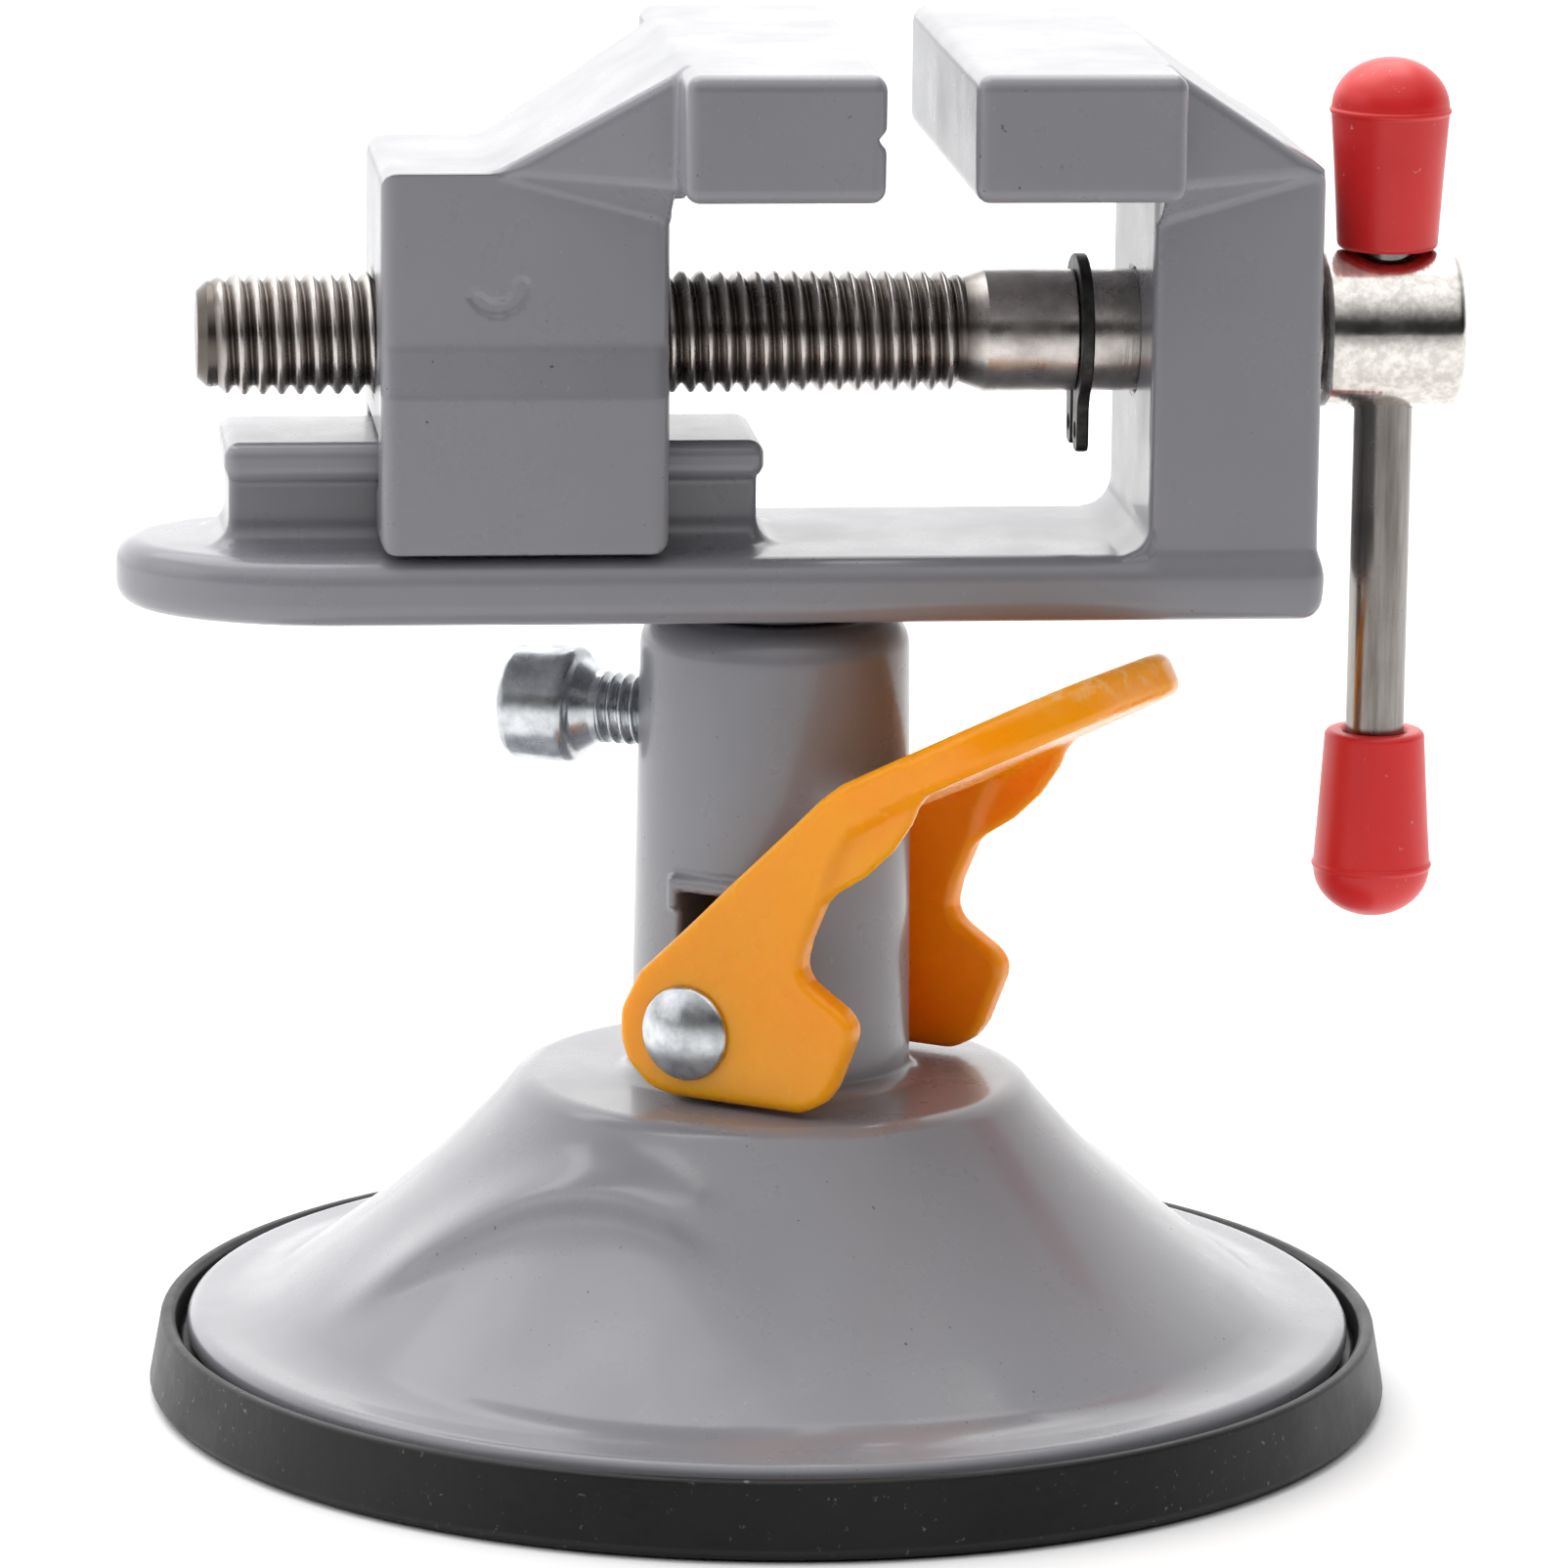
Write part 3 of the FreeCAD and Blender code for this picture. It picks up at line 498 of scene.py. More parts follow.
# thumb plate: its slope, where it leaves the arms, and its outline from there
PLATE_SLOPE = math.radians(27.5)
THUMB_BEND = (13.6, 21.9)
THUMB_MID = 5.4
THUMB_HALF = 15.4
THUMB_CORNER_R = 10.0
THUMB_THICK = 3.6
BEND_OUTLINE = [(11.0, 19.7), (13.6, 21.9), (16.2, 23.2), (17.8, 20.0), (14.8, 18.2)]
ARM_OUTLINE = eased([
    (-6.3, 1.2), (-4.6, 4.5), (-0.3, 8.6), (3.8, 12.7), (9.8, 18.5), (11.7, 20.4), (13.6, 21.9),
    (20.5, 25.5), (20.5, 21.6), (16.4, 19.5), (14.2, 17.6), (12.9, 14.9), (12.3, 12.4),
    (10.7, 8.7), (10.2, 6.6), (10.8, 5.4), (14.2, 3.3), (15.0, 2.3), (15.0, 1.2),
    (13.3, -3.1), (12.3, -4.5), (10.4, -5.5), (-1.4, -5.5), (-3.6, -5.0), (-5.6, -3.1),
    (-6.3, -1.2),
], 2.5)
WEB_OUTLINE = eased([
    (11.0, 12.0), (12.7, 12.6), (15.6, 14.5), (18.0, 16.8), (19.7, 19.3), (20.6, 21.8),
    (20.6, 24.6), (12.4, 20.0),
], 3.0)


def lever_field(x, y, z):
    """The lever about its pin, with X towards the thumb plate and Y along the pin."""
    far = np.abs(y)
    arm = meet(polygon(x, z, ARM_OUTLINE), slab(far, ARM_IN, ARM_OUT), ARM_ROUND)
    web = meet(polygon(x, z, WEB_OUTLINE), slab(far, *WEB_Y), 0.55)
    c, s = math.cos(PLATE_SLOPE), math.sin(PLATE_SLOPE)
    up = (x - THUMB_BEND[0]) * c + (z - THUMB_BEND[1]) * s
    lift = -(x - THUMB_BEND[0]) * s + (z - THUMB_BEND[1]) * c
    outline = round_rect(up - THUMB_MID, y, THUMB_HALF, ARM_OUT, THUMB_CORNER_R)
    plate = meet(outline, slab(lift, -THUMB_THICK, 0.0), 1.1)
    plate = np.maximum(plate, -up - 0.3)
    bar = meet(polygon(x, z, BEND_OUTLINE), far - ARM_OUT, ARM_ROUND)
    body = np.minimum(np.minimum(plate, bar), arm)
    body = join(body, web, 0.8)
    body = carve(body, rod(x, y, ARM_IN - 0.05), 0.4)
    return carve(body, rod(x, z, PIN_HOLE_R), 0.2)


def cam_lever():
    p, q, n = skin(lever_field, (-6.5, -14.4, -5.7), (32.4, 14.4, 32.0), 0.36)
    p, n = turned(p, n, -PIN_YAW, PIN_Z)
    return piece("cam_lever_orange", (p, q, n))


# ---- vise head --------------------------------------------------------

POST_X = (28.85, 42.6)
POST_HALF_W = 12.2
POST_TOP_Z = 101.0
BED_Z = (64.6, 70.0)
BED_MID_X = 3.05
BED_HALF_X = 40.05
# the bed's far end is half an ellipse, which starts at NOSE_X
NOSE_X = -35.5
NOSE_LENGTH = 18.0
GUSSET_FOOT_Z = 97.2
GUSSET_HALF_W = 16.5
FIXED_GUSSET_X = 29.2
FIXED_JAW_X = (13.1, 29.8)
MOVING_JAW_X = (-9.7, 6.1)
JAW_ROUND = 1.2
RAIL_NECK = ((-44.6, -4.9, 66.0), (-2.1, 4.9, 77.0))
RAIL_HEAD = ((-45.0, -7.3, 75.6), (-1.7, 7.3, 78.7))
BOSS_R = 7.5
BOSS_Z = (63.65, 66.0)
SPIGOT_R = 6.0
SPIGOT_Z = (46.6, 66.0)
SPIGOT_GROOVE_R = 4.7
SPIGOT_GROOVE_Z = (50.9, 57.7)
POST_BORE_R = 5.03


def gusset(x, y, z, x_out, x_jaw, half_w, top_z):
    """Faceted wedge that spreads from the upright to the wide jaw."""
    y = np.abs(y)
    inside = (x_jaw + 0.2 * (x_out - x_jaw), 0, POST_TOP_Z)
    low, mid = (x_jaw, half_w, GUSSET_FOOT_Z), (x_jaw, GUSSET_HALF_W, JAW_Z[0] + 0.3)
    top, out = (x_jaw, GUSSET_HALF_W, JAW_Z[1] - 0.2), (x_out, half_w, top_z)
    roof = plane(x, y, z, out, (x_out, 0, top_z), top, inside)
    upper = plane(x, y, z, out, top, mid, inside)
    lower = plane(x, y, z, out, mid, low, inside)
    floor = plane(x, y, z, out, (x_out, 0, top_z), low, inside)
    side = 1.0 if x_jaw < x_out else -1.0
    back = side * (x_jaw - x)
    shape = meet(meet(roof, upper, 0.9), lower, 0.5)
    return np.maximum(np.maximum(shape, floor), back)


def corner_fill(u, v, u0, v0, r):
    """Concave fillet in the corner that opens towards -u and +v from (u0, v0)."""
    square = np.maximum(np.maximum(u - u0 - 0.6, u0 - r - u), np.maximum(v0 - 0.6 - v, v - v0 - r))
    return np.maximum(square, r - np.sqrt((u - u0 + r) ** 2 + (v - v0 - r) ** 2))


def jaw_block(x, y, z, span):
    low, high = (span[0], -JAW_HALF_W, JAW_Z[0]), (span[1], JAW_HALF_W, JAW_Z[1])
    return block(x, y, z, low, high, JAW_ROUND)


def frame_field(x, y, z):
    r = np.sqrt(x * x + y * y)
    u, v = (x - NOSE_X) / NOSE_LENGTH, y / PLATE_HALF_W
    near = np.sqrt(u * u + v * v)
    steep = np.sqrt((u / NOSE_LENGTH) ** 2 + (v / PLATE_HALF_W) ** 2)
    nose = near * (near - 1) / np.maximum(steep, 1e-6)
    outline = np.minimum(round_rect(x - BED_MID_X, y, BED_HALF_X, PLATE_HALF_W, 1.5), nose)
    plate = meet(outline, slab(z, *BED_Z), 1.95)
    low, high = (POST_X[0], -POST_HALF_W, 66.5), (POST_X[1], POST_HALF_W, POST_TOP_Z + 3)
    upright = block(x, y, z, low, high, 1.2)
    fillet = meet(corner_fill(x, z, POST_X[0], BED_Z[1], 2.4), np.abs(y) - POST_HALF_W, 0.9)
    shoulder = gusset(x, y, z, POST_X[1], FIXED_GUSSET_X, POST_HALF_W, POST_TOP_Z)
    edge, ridge = (POST_X[1], PLATE_HALF_W, POST_TOP_Z), (POST_X[1], 0, POST_TOP_Z)
    peak = (FIXED_GUSSET_X, GUSSET_HALF_W, 110.0)
    upright = meet(upright, plane(x, np.abs(y), z, edge, ridge, peak, (30, 0, 90)), 0.8)
    body = join(np.minimum(join(plate, upright, 1.0), fillet), shoulder, 0.5)
    jaw = jaw_block(x, y, z, FIXED_JAW_X)
    shelf = block(x, y, z, (28.0, -POST_HALF_W, 98.9), (30.2, POST_HALF_W, 103.0), 0.5)
    body = join(np.minimum(body, shelf), jaw, 0.55)
    neck = block(x, y, z, *RAIL_NECK, 0.6)
    head = block(x, y, z, *RAIL_HEAD, 1.2)
    body = np.minimum(join(body, neck, 2.3), join(head, neck, 0.6))
    boss = meet(r - BOSS_R, slab(z, *BOSS_Z), 0.4)
    body = join(body, boss, 0.5)
    spigot = meet(r - SPIGOT_R, slab(z, *SPIGOT_Z), 0.6)
    groove = np.maximum(SPIGOT_GROOVE_R - r, slab(z, *SPIGOT_GROOVE_Z))
    body = np.minimum(body, carve(spigot, groove, 0.4))
    bore = np.maximum(rod(y, z - SCREW_Z, POST_BORE_R), slab(x, 23.0, 50.0))
    return np.maximum(carve(body, bore, 0.35), z - JAW_Z[1])


def vise_frame():
    shell = skin(frame_field, (-53.5, -23, 46.6), (43.1, 23, 110.2), 0.45)
    return piece("vise_frame_skin", shell)


CARRIAGE_X = (-32.8, -9.8)
CARRIAGE_HALF_W = 11.4
CARRIAGE_BORE_R = 5.02
# the slot that runs over the rail
RAIL_SLOT_NECK = (5.2, 75.6)
RAIL_SLOT_HEAD = ((-60, -7.6, 75.3), (20, 7.6, 79.0))
# the moulded crescent on the carriage's side, and the V along the jaw's face
CRESCENT_AT = (-23.6, 92.2)
CRESCENT_R = 2.0
CRESCENT_DEEP = 0.14
NOTCH_Z = 105.1
NOTCH_DEEP = 0.8
STEP_SIDE = [(12.6, 83.3), (12.42, 83.9), (11.68, 86.2), (11.47, 86.8), (11.4, 87.4)]
CARRIAGE_OUTLINE = [(-12.6, 70.5), (12.6, 70.5), *STEP_SIDE, (11.4, 101.0), (-11.4, 101.0)]
CARRIAGE_OUTLINE += [(-y, z) for y, z in reversed(STEP_SIDE)]


def jaw_field(x, y, z):
    carriage = meet(polygon(y, z, CARRIAGE_OUTLINE), slab(x, *CARRIAGE_X), 1.3)
    ramp = gusset(x, y, z, -23.9, -9.1, CARRIAGE_HALF_W, POST_TOP_Z)
    ramp = np.maximum(ramp, np.minimum(x - CARRIAGE_X[1], 100.3 - z))
    shelf = block(x, y, z, (-12.0, -CARRIAGE_HALF_W, 98.9), (-8.5, CARRIAGE_HALF_W, 103.0), 0.5)
    jaw = jaw_block(x, y, z, MOVING_JAW_X)
    body = join(np.minimum(join(carriage, ramp, 0.5), shelf), jaw, 0.55)
    neck = np.maximum(np.abs(y) - RAIL_SLOT_NECK[0], z - RAIL_SLOT_NECK[1])
    head = block(x, y, z, *RAIL_SLOT_HEAD, 0.3)
    body = carve(body, np.minimum(neck, head), 0.4)
    bore = np.maximum(rod(y, z - SCREW_Z, CARRIAGE_BORE_R), x + 5.0)
    body = carve(body, bore, 0.35)
    across, rise = x - CRESCENT_AT[0], z - CRESCENT_AT[1]
    crescent = np.abs(np.hypot(across, rise) - CRESCENT_R) - 0.45
    crescent = meet(crescent, (z - 92.0) - 0.3 * across, 0.5)
    body = carve(body, meet(crescent, np.abs(y + CARRIAGE_HALF_W) - CRESCENT_DEEP, 0.1), 0.3)
    notch = (np.abs(z - NOTCH_Z) + (MOVING_JAW_X[1] - x) - NOTCH_DEEP) / math.sqrt(2)
    body = carve(body, notch, 0.12)
    return np.maximum(body, z - JAW_Z[1])


def moving_jaw():
    shell = skin(jaw_field, (-32.8, -23, 70.5), (6.1, 23, 110.2), 0.42)
    return piece("moving_jaw_skin", shell)


# ---- lead screw and T-bar ---------------------------------------------

LEAD_PITCH = 1.5
LEAD_CREST_R = 4.93
LEAD_ROOT_R = 4.15
LEAD_THREAD_X = (-46.1, 15.0)
SHANK_R = 4.95
KNOB_R = 6.5
KNOB_X = (43.9, 55.3)
CROSS_HOLE_R = 2.46
# the ring's seat on the shank, and the ring itself
CIRCLIP_GROOVE_X = (23.95, 25.05)
CIRCLIP_GROOVE_R = 4.5
CIRCLIP_X = (24.0, 25.0)
CIRCLIP_R = (4.54, 6.2)
CIRCLIP_LUG_Y = 2.0
BAR_R = 2.4
BAR_Z = (40.9, 105.4)
# where each cap's mouth is, up the bar
CAP_UPPER_Z = 93.1
CAP_LOWER_Z = 53.2
CAP_R = 4.8
CAP_SKIRT_LONG = 11.55
CAP_DOME_LONG = 4.05


def screw_head_field(x, y, z):
    out = np.sqrt(y * y + (z - SCREW_Z) ** 2)
    knob = meet(out - KNOB_R, slab(x, *KNOB_X), 0.7)
    neck = np.maximum(out - SHANK_R, slab(x, 40.5, 46.0))
    body = join(knob, neck, 0.25)
    return carve(body, rod(x - BAR_X, y, CROSS_HOLE_R), 0.3)


def lead_screw():
    centre = (0, 0, SCREW_Z)
    tip = rounded([(-47.0, 0.0), (-47.0, 3.5), (-46.2, 4.25), (-45.4, 4.25)], 0.2)
    tip = lathe(tip, centre, (1, 0, 0), 60)
    ridges = thread(*LEAD_THREAD_X, LEAD_PITCH, LEAD_CREST_R, LEAD_ROOT_R, centre, (1, 0, 0))
    groove_in, groove_out = CIRCLIP_GROOVE_X
    profile = [
        (14.6, LEAD_ROOT_R), (16.6, SHANK_R), (groove_in, SHANK_R), (groove_in, CIRCLIP_GROOVE_R),
        (groove_out, CIRCLIP_GROOVE_R), (groove_out, SHANK_R), (42.0, SHANK_R),
    ]
    shank = lathe(rounded(profile, 0.12, 3), centre, (1, 0, 0), 72)
    low, high = (40.5, -KNOB_R, SCREW_Z - KNOB_R), (KNOB_X[1], KNOB_R, SCREW_Z + KNOB_R)
    knob = skin(screw_head_field, low, high, 0.3)
    return piece("lead_screw_steel", tip, ridges, shank, knob)


def circlip_field(x, y, z):
    """A flat ring, open at the bottom between two lugs with a hole in each."""
    v = z - SCREW_Z
    ring = rod(y, v, CIRCLIP_R[1])
    lug = round_rect(np.abs(y) - CIRCLIP_LUG_Y, v + 7.0, 1.3, 2.6, 0.9)
    flat = join(ring, lug, 0.8)
    flat = carve(flat, rod(y, v, CIRCLIP_R[0]), 0.05)
    flat = carve(flat, np.maximum(np.abs(y) - 0.7, v), 0.1)
    flat = carve(flat, rod(np.abs(y) - CIRCLIP_LUG_Y, v + 7.9, 0.65), 0.05)
    return meet(flat, slab(x, *CIRCLIP_X), 0.15)


def circlip():
    low, high = (CIRCLIP_X[0], -CIRCLIP_R[1], 76.9), (CIRCLIP_X[1], CIRCLIP_R[1], 92.7)
    shell = skin(circlip_field, low, high, 0.17)
    return piece("circlip_black", shell)


def t_bar():
    low, high = BAR_Z
    profile = [(low, 0.0), (low, 1.9), (41.4, BAR_R), (104.9, BAR_R), (high, 1.9), (high, 0.0)]
    return piece("t_bar_nickel", lathe(rounded(profile, 0.2), (BAR_X, 0, 0), (0, 0, 1), 56))


def cap(name, mouth_z, sign):
    """A cap with a flared skirt, a fine bead and a domed end."""
    skirt = [
        (12.2, 2.44), (0.5, 2.44), (0.0, 2.8), (0.0, 3.8), (0.3, 4.1), (4.0, 4.32), (8.0, 4.58),
        (11.0, CAP_R),
    ]
    bead = [(11.15, 4.95), (11.4, 4.95), (CAP_SKIRT_LONG, CAP_R)]
    turns = [math.radians(9 * k) for k in range(1, 11)]
    dome = [(CAP_SKIRT_LONG + CAP_DOME_LONG * math.sin(t), CAP_R * math.cos(t)) for t in turns]
    rows = rounded(skirt + bead + dome, 6.0, 3)
    return piece(name, lathe(rows, (BAR_X, 0, mouth_z), (0, 0, sign), 64))


# ---- clamp screw ------------------------------------------------------

CLAMP_PITCH = 1.0
CLAMP_CREST_R = 2.95
CLAMP_ROOT_R = 2.4
CLAMP_HEAD_R = 4.8
CLAMP_HEAD_X = (16.75, 22.8)
CLAMP_NECK_X = 14.6
HEX_HALF = 2.5
HEX_FLOOR_X = 19.8


def clamp_head_field(x, y, z):
    """The head about the screw's own axis, which is X here."""
    out = np.sqrt(y * y + z * z)
    knob = meet(out - CLAMP_HEAD_R, slab(x, *CLAMP_HEAD_X), 0.85)
    neck = polygon(x, out, [
        (CLAMP_NECK_X, -1), (CLAMP_NECK_X, CLAMP_CREST_R), (15.3, CLAMP_CREST_R), (16.9, 4.05),
        (17.6, 4.05), (17.6, -1),
    ])
    body = join(knob, neck, 0.2)
    across = None
    for k in range(3):
        a = math.radians(60 * k + 30)
        d = np.abs(y * math.cos(a) + z * math.sin(a)) - HEX_HALF
        across = d if across is None else np.maximum(across, d)
    hexagon = np.maximum(across, HEX_FLOOR_X - x)
    return carve(body, hexagon, 0.15)


def clamp_screw():
    direction = (-math.cos(CLAMP_YAW), math.sin(CLAMP_YAW), 0)
    centre = (0, 0, CLAMP_Z)
    low = (CLAMP_NECK_X, -CLAMP_HEAD_R, -CLAMP_HEAD_R)
    high = (CLAMP_HEAD_X[1], CLAMP_HEAD_R, CLAMP_HEAD_R)
    p, q, n = skin(clamp_head_field, low, high, 0.22)
    a, u, v = (np.array(d, float) for d in axes_for(direction))
    turn = np.stack([a, u, v], 1)
    head = (p @ turn.T + np.array(centre), q, n @ turn.T)
    tip = rounded([(5.05, 0.0), (5.05, 2.1), (5.3, CLAMP_ROOT_R), (6.6, CLAMP_ROOT_R)], 0.15)
    dog = lathe(tip, centre, direction, 48)
    ridges = thread(6.4, 15.5, CLAMP_PITCH, CLAMP_CREST_R, CLAMP_ROOT_R, centre, direction, 48)
    return piece("clamp_screw_zinc", dog, ridges, head)


# ---- finishes ---------------------------------------------------------

SPAN_SOCKETS = ("From Min", "From Max", "To Min", "To Max")
# heights over which the lever's tip is scuffed
SCUFF_Z = (60.0, 63.0)
# metres from the lead screw's axis, root to crest, over which painted shade in the thread roots turns
# into a painted highlight on the crests, and where its plated head begins
ROOT_SHADE_CREST_HIGHLIGHT_OUT = (0.00425, 0.00485)
PLATED_X = (0.0438, 0.0441)


class Finish:
    """A material built out of nodes, on object coordinates in metres."""

    def __init__(self, name):
        self.material = bpy.data.materials.new(name)
        self.material.use_nodes = True
        self.tree = self.material.node_tree
        self.shader = self.tree.nodes["Principled BSDF"]
        self.place = self.tree.nodes.new("ShaderNodeTexCoord").outputs["Object"]

    def node(self, kind, **values):
        made = self.tree.nodes.new(kind)
        for key, value in values.items():
            setattr(made, key, value)
        return made

    def link(self, source, target):
        self.tree.links.new(source, target)

    def scaled(self, x, y, z):
        made = self.node("ShaderNodeMapping")
        made.inputs["Scale"].default_value = (x, y, z)
        self.link(self.place, made.inputs["Vector"])
        return made.outputs["Vector"]

    def noise(self, scale, detail=3.0, rough=0.5, vector=None):
        made = self.node("ShaderNodeTexNoise")
        made.inputs["Scale"].default_value = scale
        made.inputs["Detail"].default_value = detail
        made.inputs["Roughness"].default_value = rough
        self.link(vector or self.place, made.inputs["Vector"])
        return made.outputs["Fac"]

    def span(self, value, low, high, to_low=0.0, to_high=1.0):
        made = self.node("ShaderNodeMapRange")
        made.clamp = True
        numbers = (low, high, to_low, to_high)
        for key, number in zip(SPAN_SOCKETS, numbers):
            made.inputs[key].default_value = number
        self.link(value, made.inputs["Value"])
        return made.outputs["Result"]

    def math(self, operation, a, b):
        made = self.node("ShaderNodeMath", operation=operation)
        for socket, value in zip(made.inputs, (a, b)):
            if isinstance(value, (int, float)):
                socket.default_value = value
            else:
                self.link(value, socket)
        return made.outputs[0]

    def blend(self, factor, a, b):
        made = self.node("ShaderNodeMix", data_type="RGBA")
        self.link(factor, made.inputs["Factor"])
        for key, value in (("A", a), ("B", b)):
            socket = [s for s in made.inputs if s.name == key and s.type == "RGBA"][0]
            if isinstance(value, tuple):
                socket.default_value = (*value, 1.0)
            else:
                self.link(value, socket)
        return [s for s in made.outputs if s.type == "RGBA"][0]

    def bump(self, height, strength, depth, under=None):
        made = self.node("ShaderNodeBump")
        made.inputs["Strength"].default_value = strength
        made.inputs["Distance"].default_value = depth
        self.link(height, made.inputs["Height"])
        if under:
            self.link(under, made.inputs["Normal"])
        return made.outputs["Normal"]

    def axis(self, index):
        made = self.node("ShaderNodeSeparateXYZ")
        self.link(self.place, made.inputs[0])
        return made.outputs[index]

    def wear(self, **sockets):
        """Sets shader inputs; a tuple is a colour or vector, a number a value, anything else a link."""
        for key, value in sockets.items():
            socket = self.shader.inputs[key.replace("_", " ")]
            if isinstance(value, (int, float)):
                socket.default_value = value
            elif isinstance(value, tuple):
                socket.default_value = (*value, 1.0) if socket.type == "RGBA" else value
            else:
                self.link(value, socket)
        return self.material


def grey_paint():
    """Gloss grey paint with dark grit in patches, pale lint and a fine peel."""
    f = Finish("grey paint")
    cloud = f.noise(45, 4, 0.55)
    fine = f.noise(900, 2, 0.5)
    colour = f.blend(f.span(cloud, 0.3, 0.7), (0.215, 0.215, 0.237), (0.232, 0.232, 0.255))
    grit = f.span(f.noise(1900, 1, 0.4), 0.775, 0.80)
    patch = f.span(f.noise(70, 2, 0.5), 0.47, 0.60)
    colour = f.blend(f.math("MULTIPLY", grit, patch), colour, (0.045, 0.043, 0.042))
    lint = f.span(f.noise(1700, 1, 0.4, f.scaled(1.0, 1.3, 0.8)), 0.77, 0.80)
    colour = f.blend(lint, colour, (0.26, 0.26, 0.28))
    peel = f.bump(fine, 0.10, 0.00005)
    rough = f.span(f.noise(120, 4, 0.6), 0.3, 0.7, 0.24, 0.36)
    return f.wear(Base_Color=colour, Roughness=rough, Normal=peel, Coat_Weight=0.3, Coat_Roughness=0.10)


def cup_rubber():
    """Black rubber with a faint haze and patches of pale dust."""
    f = Finish("cup rubber")
    specks = f.span(f.noise(1300, 2, 0.6), 0.66, 0.74)
    patch = f.span(f.noise(90, 3, 0.6), 0.42, 0.6)
    dust = f.math("MULTIPLY", specks, patch)
    haze = f.span(f.noise(35, 4, 0.6), 0.4, 0.75, 0.0, 0.12)
    colour = f.blend(haze, (0.007, 0.007, 0.0075), (0.05, 0.05, 0.052))
    colour = f.blend(dust, colour, (0.13, 0.13, 0.135))
    rough = f.span(f.noise(80, 4, 0.6), 0.3, 0.7, 0.34, 0.52)
    skin_bump = f.bump(f.noise(700, 3, 0.5), 0.25, 0.00015)
    return f.wear(Base_Color=colour, Roughness=rough, Normal=skin_bump, Specular_IOR_Level=0.3)


def orange_plastic():
    """Glossy orange plastic, scuffed pale at the thumb plate's tip."""
    f = Finish("orange plastic")
    cloud = f.noise(70, 3, 0.5)
    colour = f.blend(f.span(cloud, 0.3, 0.7), (1.0, 0.315, 0.0005), (1.0, 0.37, 0.001))
    height = f.span(f.axis(2), (SCUFF_Z[0] + ROW_LIFT) * MM, (SCUFF_Z[1] + ROW_LIFT) * MM)
    scuff = f.math("MULTIPLY", height, f.span(f.noise(700, 4, 0.7), 0.50, 0.66))
    colour = f.blend(scuff, colour, (1.0, 0.66, 0.34))
    rough = f.span(f.noise(200, 3, 0.5), 0.3, 0.7, 0.20, 0.34)
    wave = f.bump(f.noise(160, 2, 0.5), 0.10, 0.0001)
    return f.wear(
        Base_Color=colour, Roughness=rough, Normal=wave, Specular_IOR_Level=0.35,
        Subsurface_Weight=0.6, Subsurface_Scale=0.005, Subsurface_Radius=(1.0, 0.42, 0.05),
    )


def red_caps():
    f = Finish("red caps")
    cloud = f.noise(90, 3, 0.5)
    colour = f.blend(f.span(cloud, 0.3, 0.7), (0.66, 0.013, 0.014), (0.76, 0.020, 0.020))
    dust = f.span(f.noise(1500, 2, 0.5), 0.72, 0.80)
    colour = f.blend(dust, colour, (0.74, 0.25, 0.24))
    rough = f.span(f.noise(150, 3, 0.5), 0.3, 0.7, 0.30, 0.44)
    wave = f.bump(f.noise(220, 3, 0.5), 0.2, 0.0002)
    return f.wear(
        Base_Color=colour, Roughness=rough, Normal=wave,
        Subsurface_Weight=0.2, Subsurface_Scale=0.002, Subsurface_Radius=(1.0, 0.2, 0.15),
    )


def screw_steel():
    """Steel with patches of grime, painted shade in the thread roots, a painted highlight on the crests,
    and a plated head.
    """
    f = Finish("screw steel")
    parts = f.node("ShaderNodeSeparateXYZ")
    f.link(f.place, parts.inputs[0])
    rise = f.math("SUBTRACT", parts.outputs[2], (SCREW_Z + ROW_LIFT) * MM)
    side = parts.outputs[1]
    square = f.math("ADD", f.math("MULTIPLY", rise, rise), f.math("MULTIPLY", side, side))
    out = f.math("SQRT", square, 0.0)
    # root to crest: the dark colour in the roots is painted shade and the bright colour on the crests is
    # a painted highlight
    crest = f.span(out, *ROOT_SHADE_CREST_HIGHLIGHT_OUT)
    grime = f.span(f.noise(300, 4, 0.65), 0.35, 0.7)
    colour = f.blend(crest, (0.11, 0.095, 0.085), (0.60, 0.56, 0.53))
    colour = f.blend(f.math("MULTIPLY", grime, 0.45), colour, (0.12, 0.10, 0.09))
    nickel = f.span(parts.outputs[0], *PLATED_X)
    mottled = f.blend(f.span(f.noise(1300, 3, 0.6), 0.38, 0.62), (0.55, 0.52, 0.49), (0.74, 0.71, 0.67))
    colour = f.blend(nickel, colour, mottled)
    rough = f.span(f.noise(350, 4, 0.6), 0.3, 0.7, 0.20, 0.38)
    rough = f.math("MULTIPLY", rough, f.span(nickel, 0.0, 1.0, 1.0, 0.55))
    marks = f.bump(f.noise(1.0, 2, 0.5, f.scaled(2600, 220, 220)), 0.25, 0.00006)
    marks = f.bump(f.noise(900, 3, 0.55), 0.12, 0.00005, marks)
    return f.wear(Base_Color=colour, Roughness=rough, Normal=marks, Metallic=1.0)


def bar_steel():
    f = Finish("bar nickel")
    streak = f.noise(1.0, 4, 0.6, f.scaled(900, 900, 60))
    colour = f.blend(f.span(streak, 0.3, 0.7), (0.17, 0.15, 0.135), (0.34, 0.32, 0.30))
    spots = f.span(f.noise(700, 3, 0.6), 0.66, 0.74)
    colour = f.blend(spots, colour, (0.25, 0.21, 0.18))
    rough = f.span(f.noise(300, 4, 0.6), 0.3, 0.7, 0.16, 0.32)
    marks = f.bump(streak, 0.2, 0.00005)
    return f.wear(Base_Color=colour, Roughness=rough, Normal=marks, Metallic=1.0)


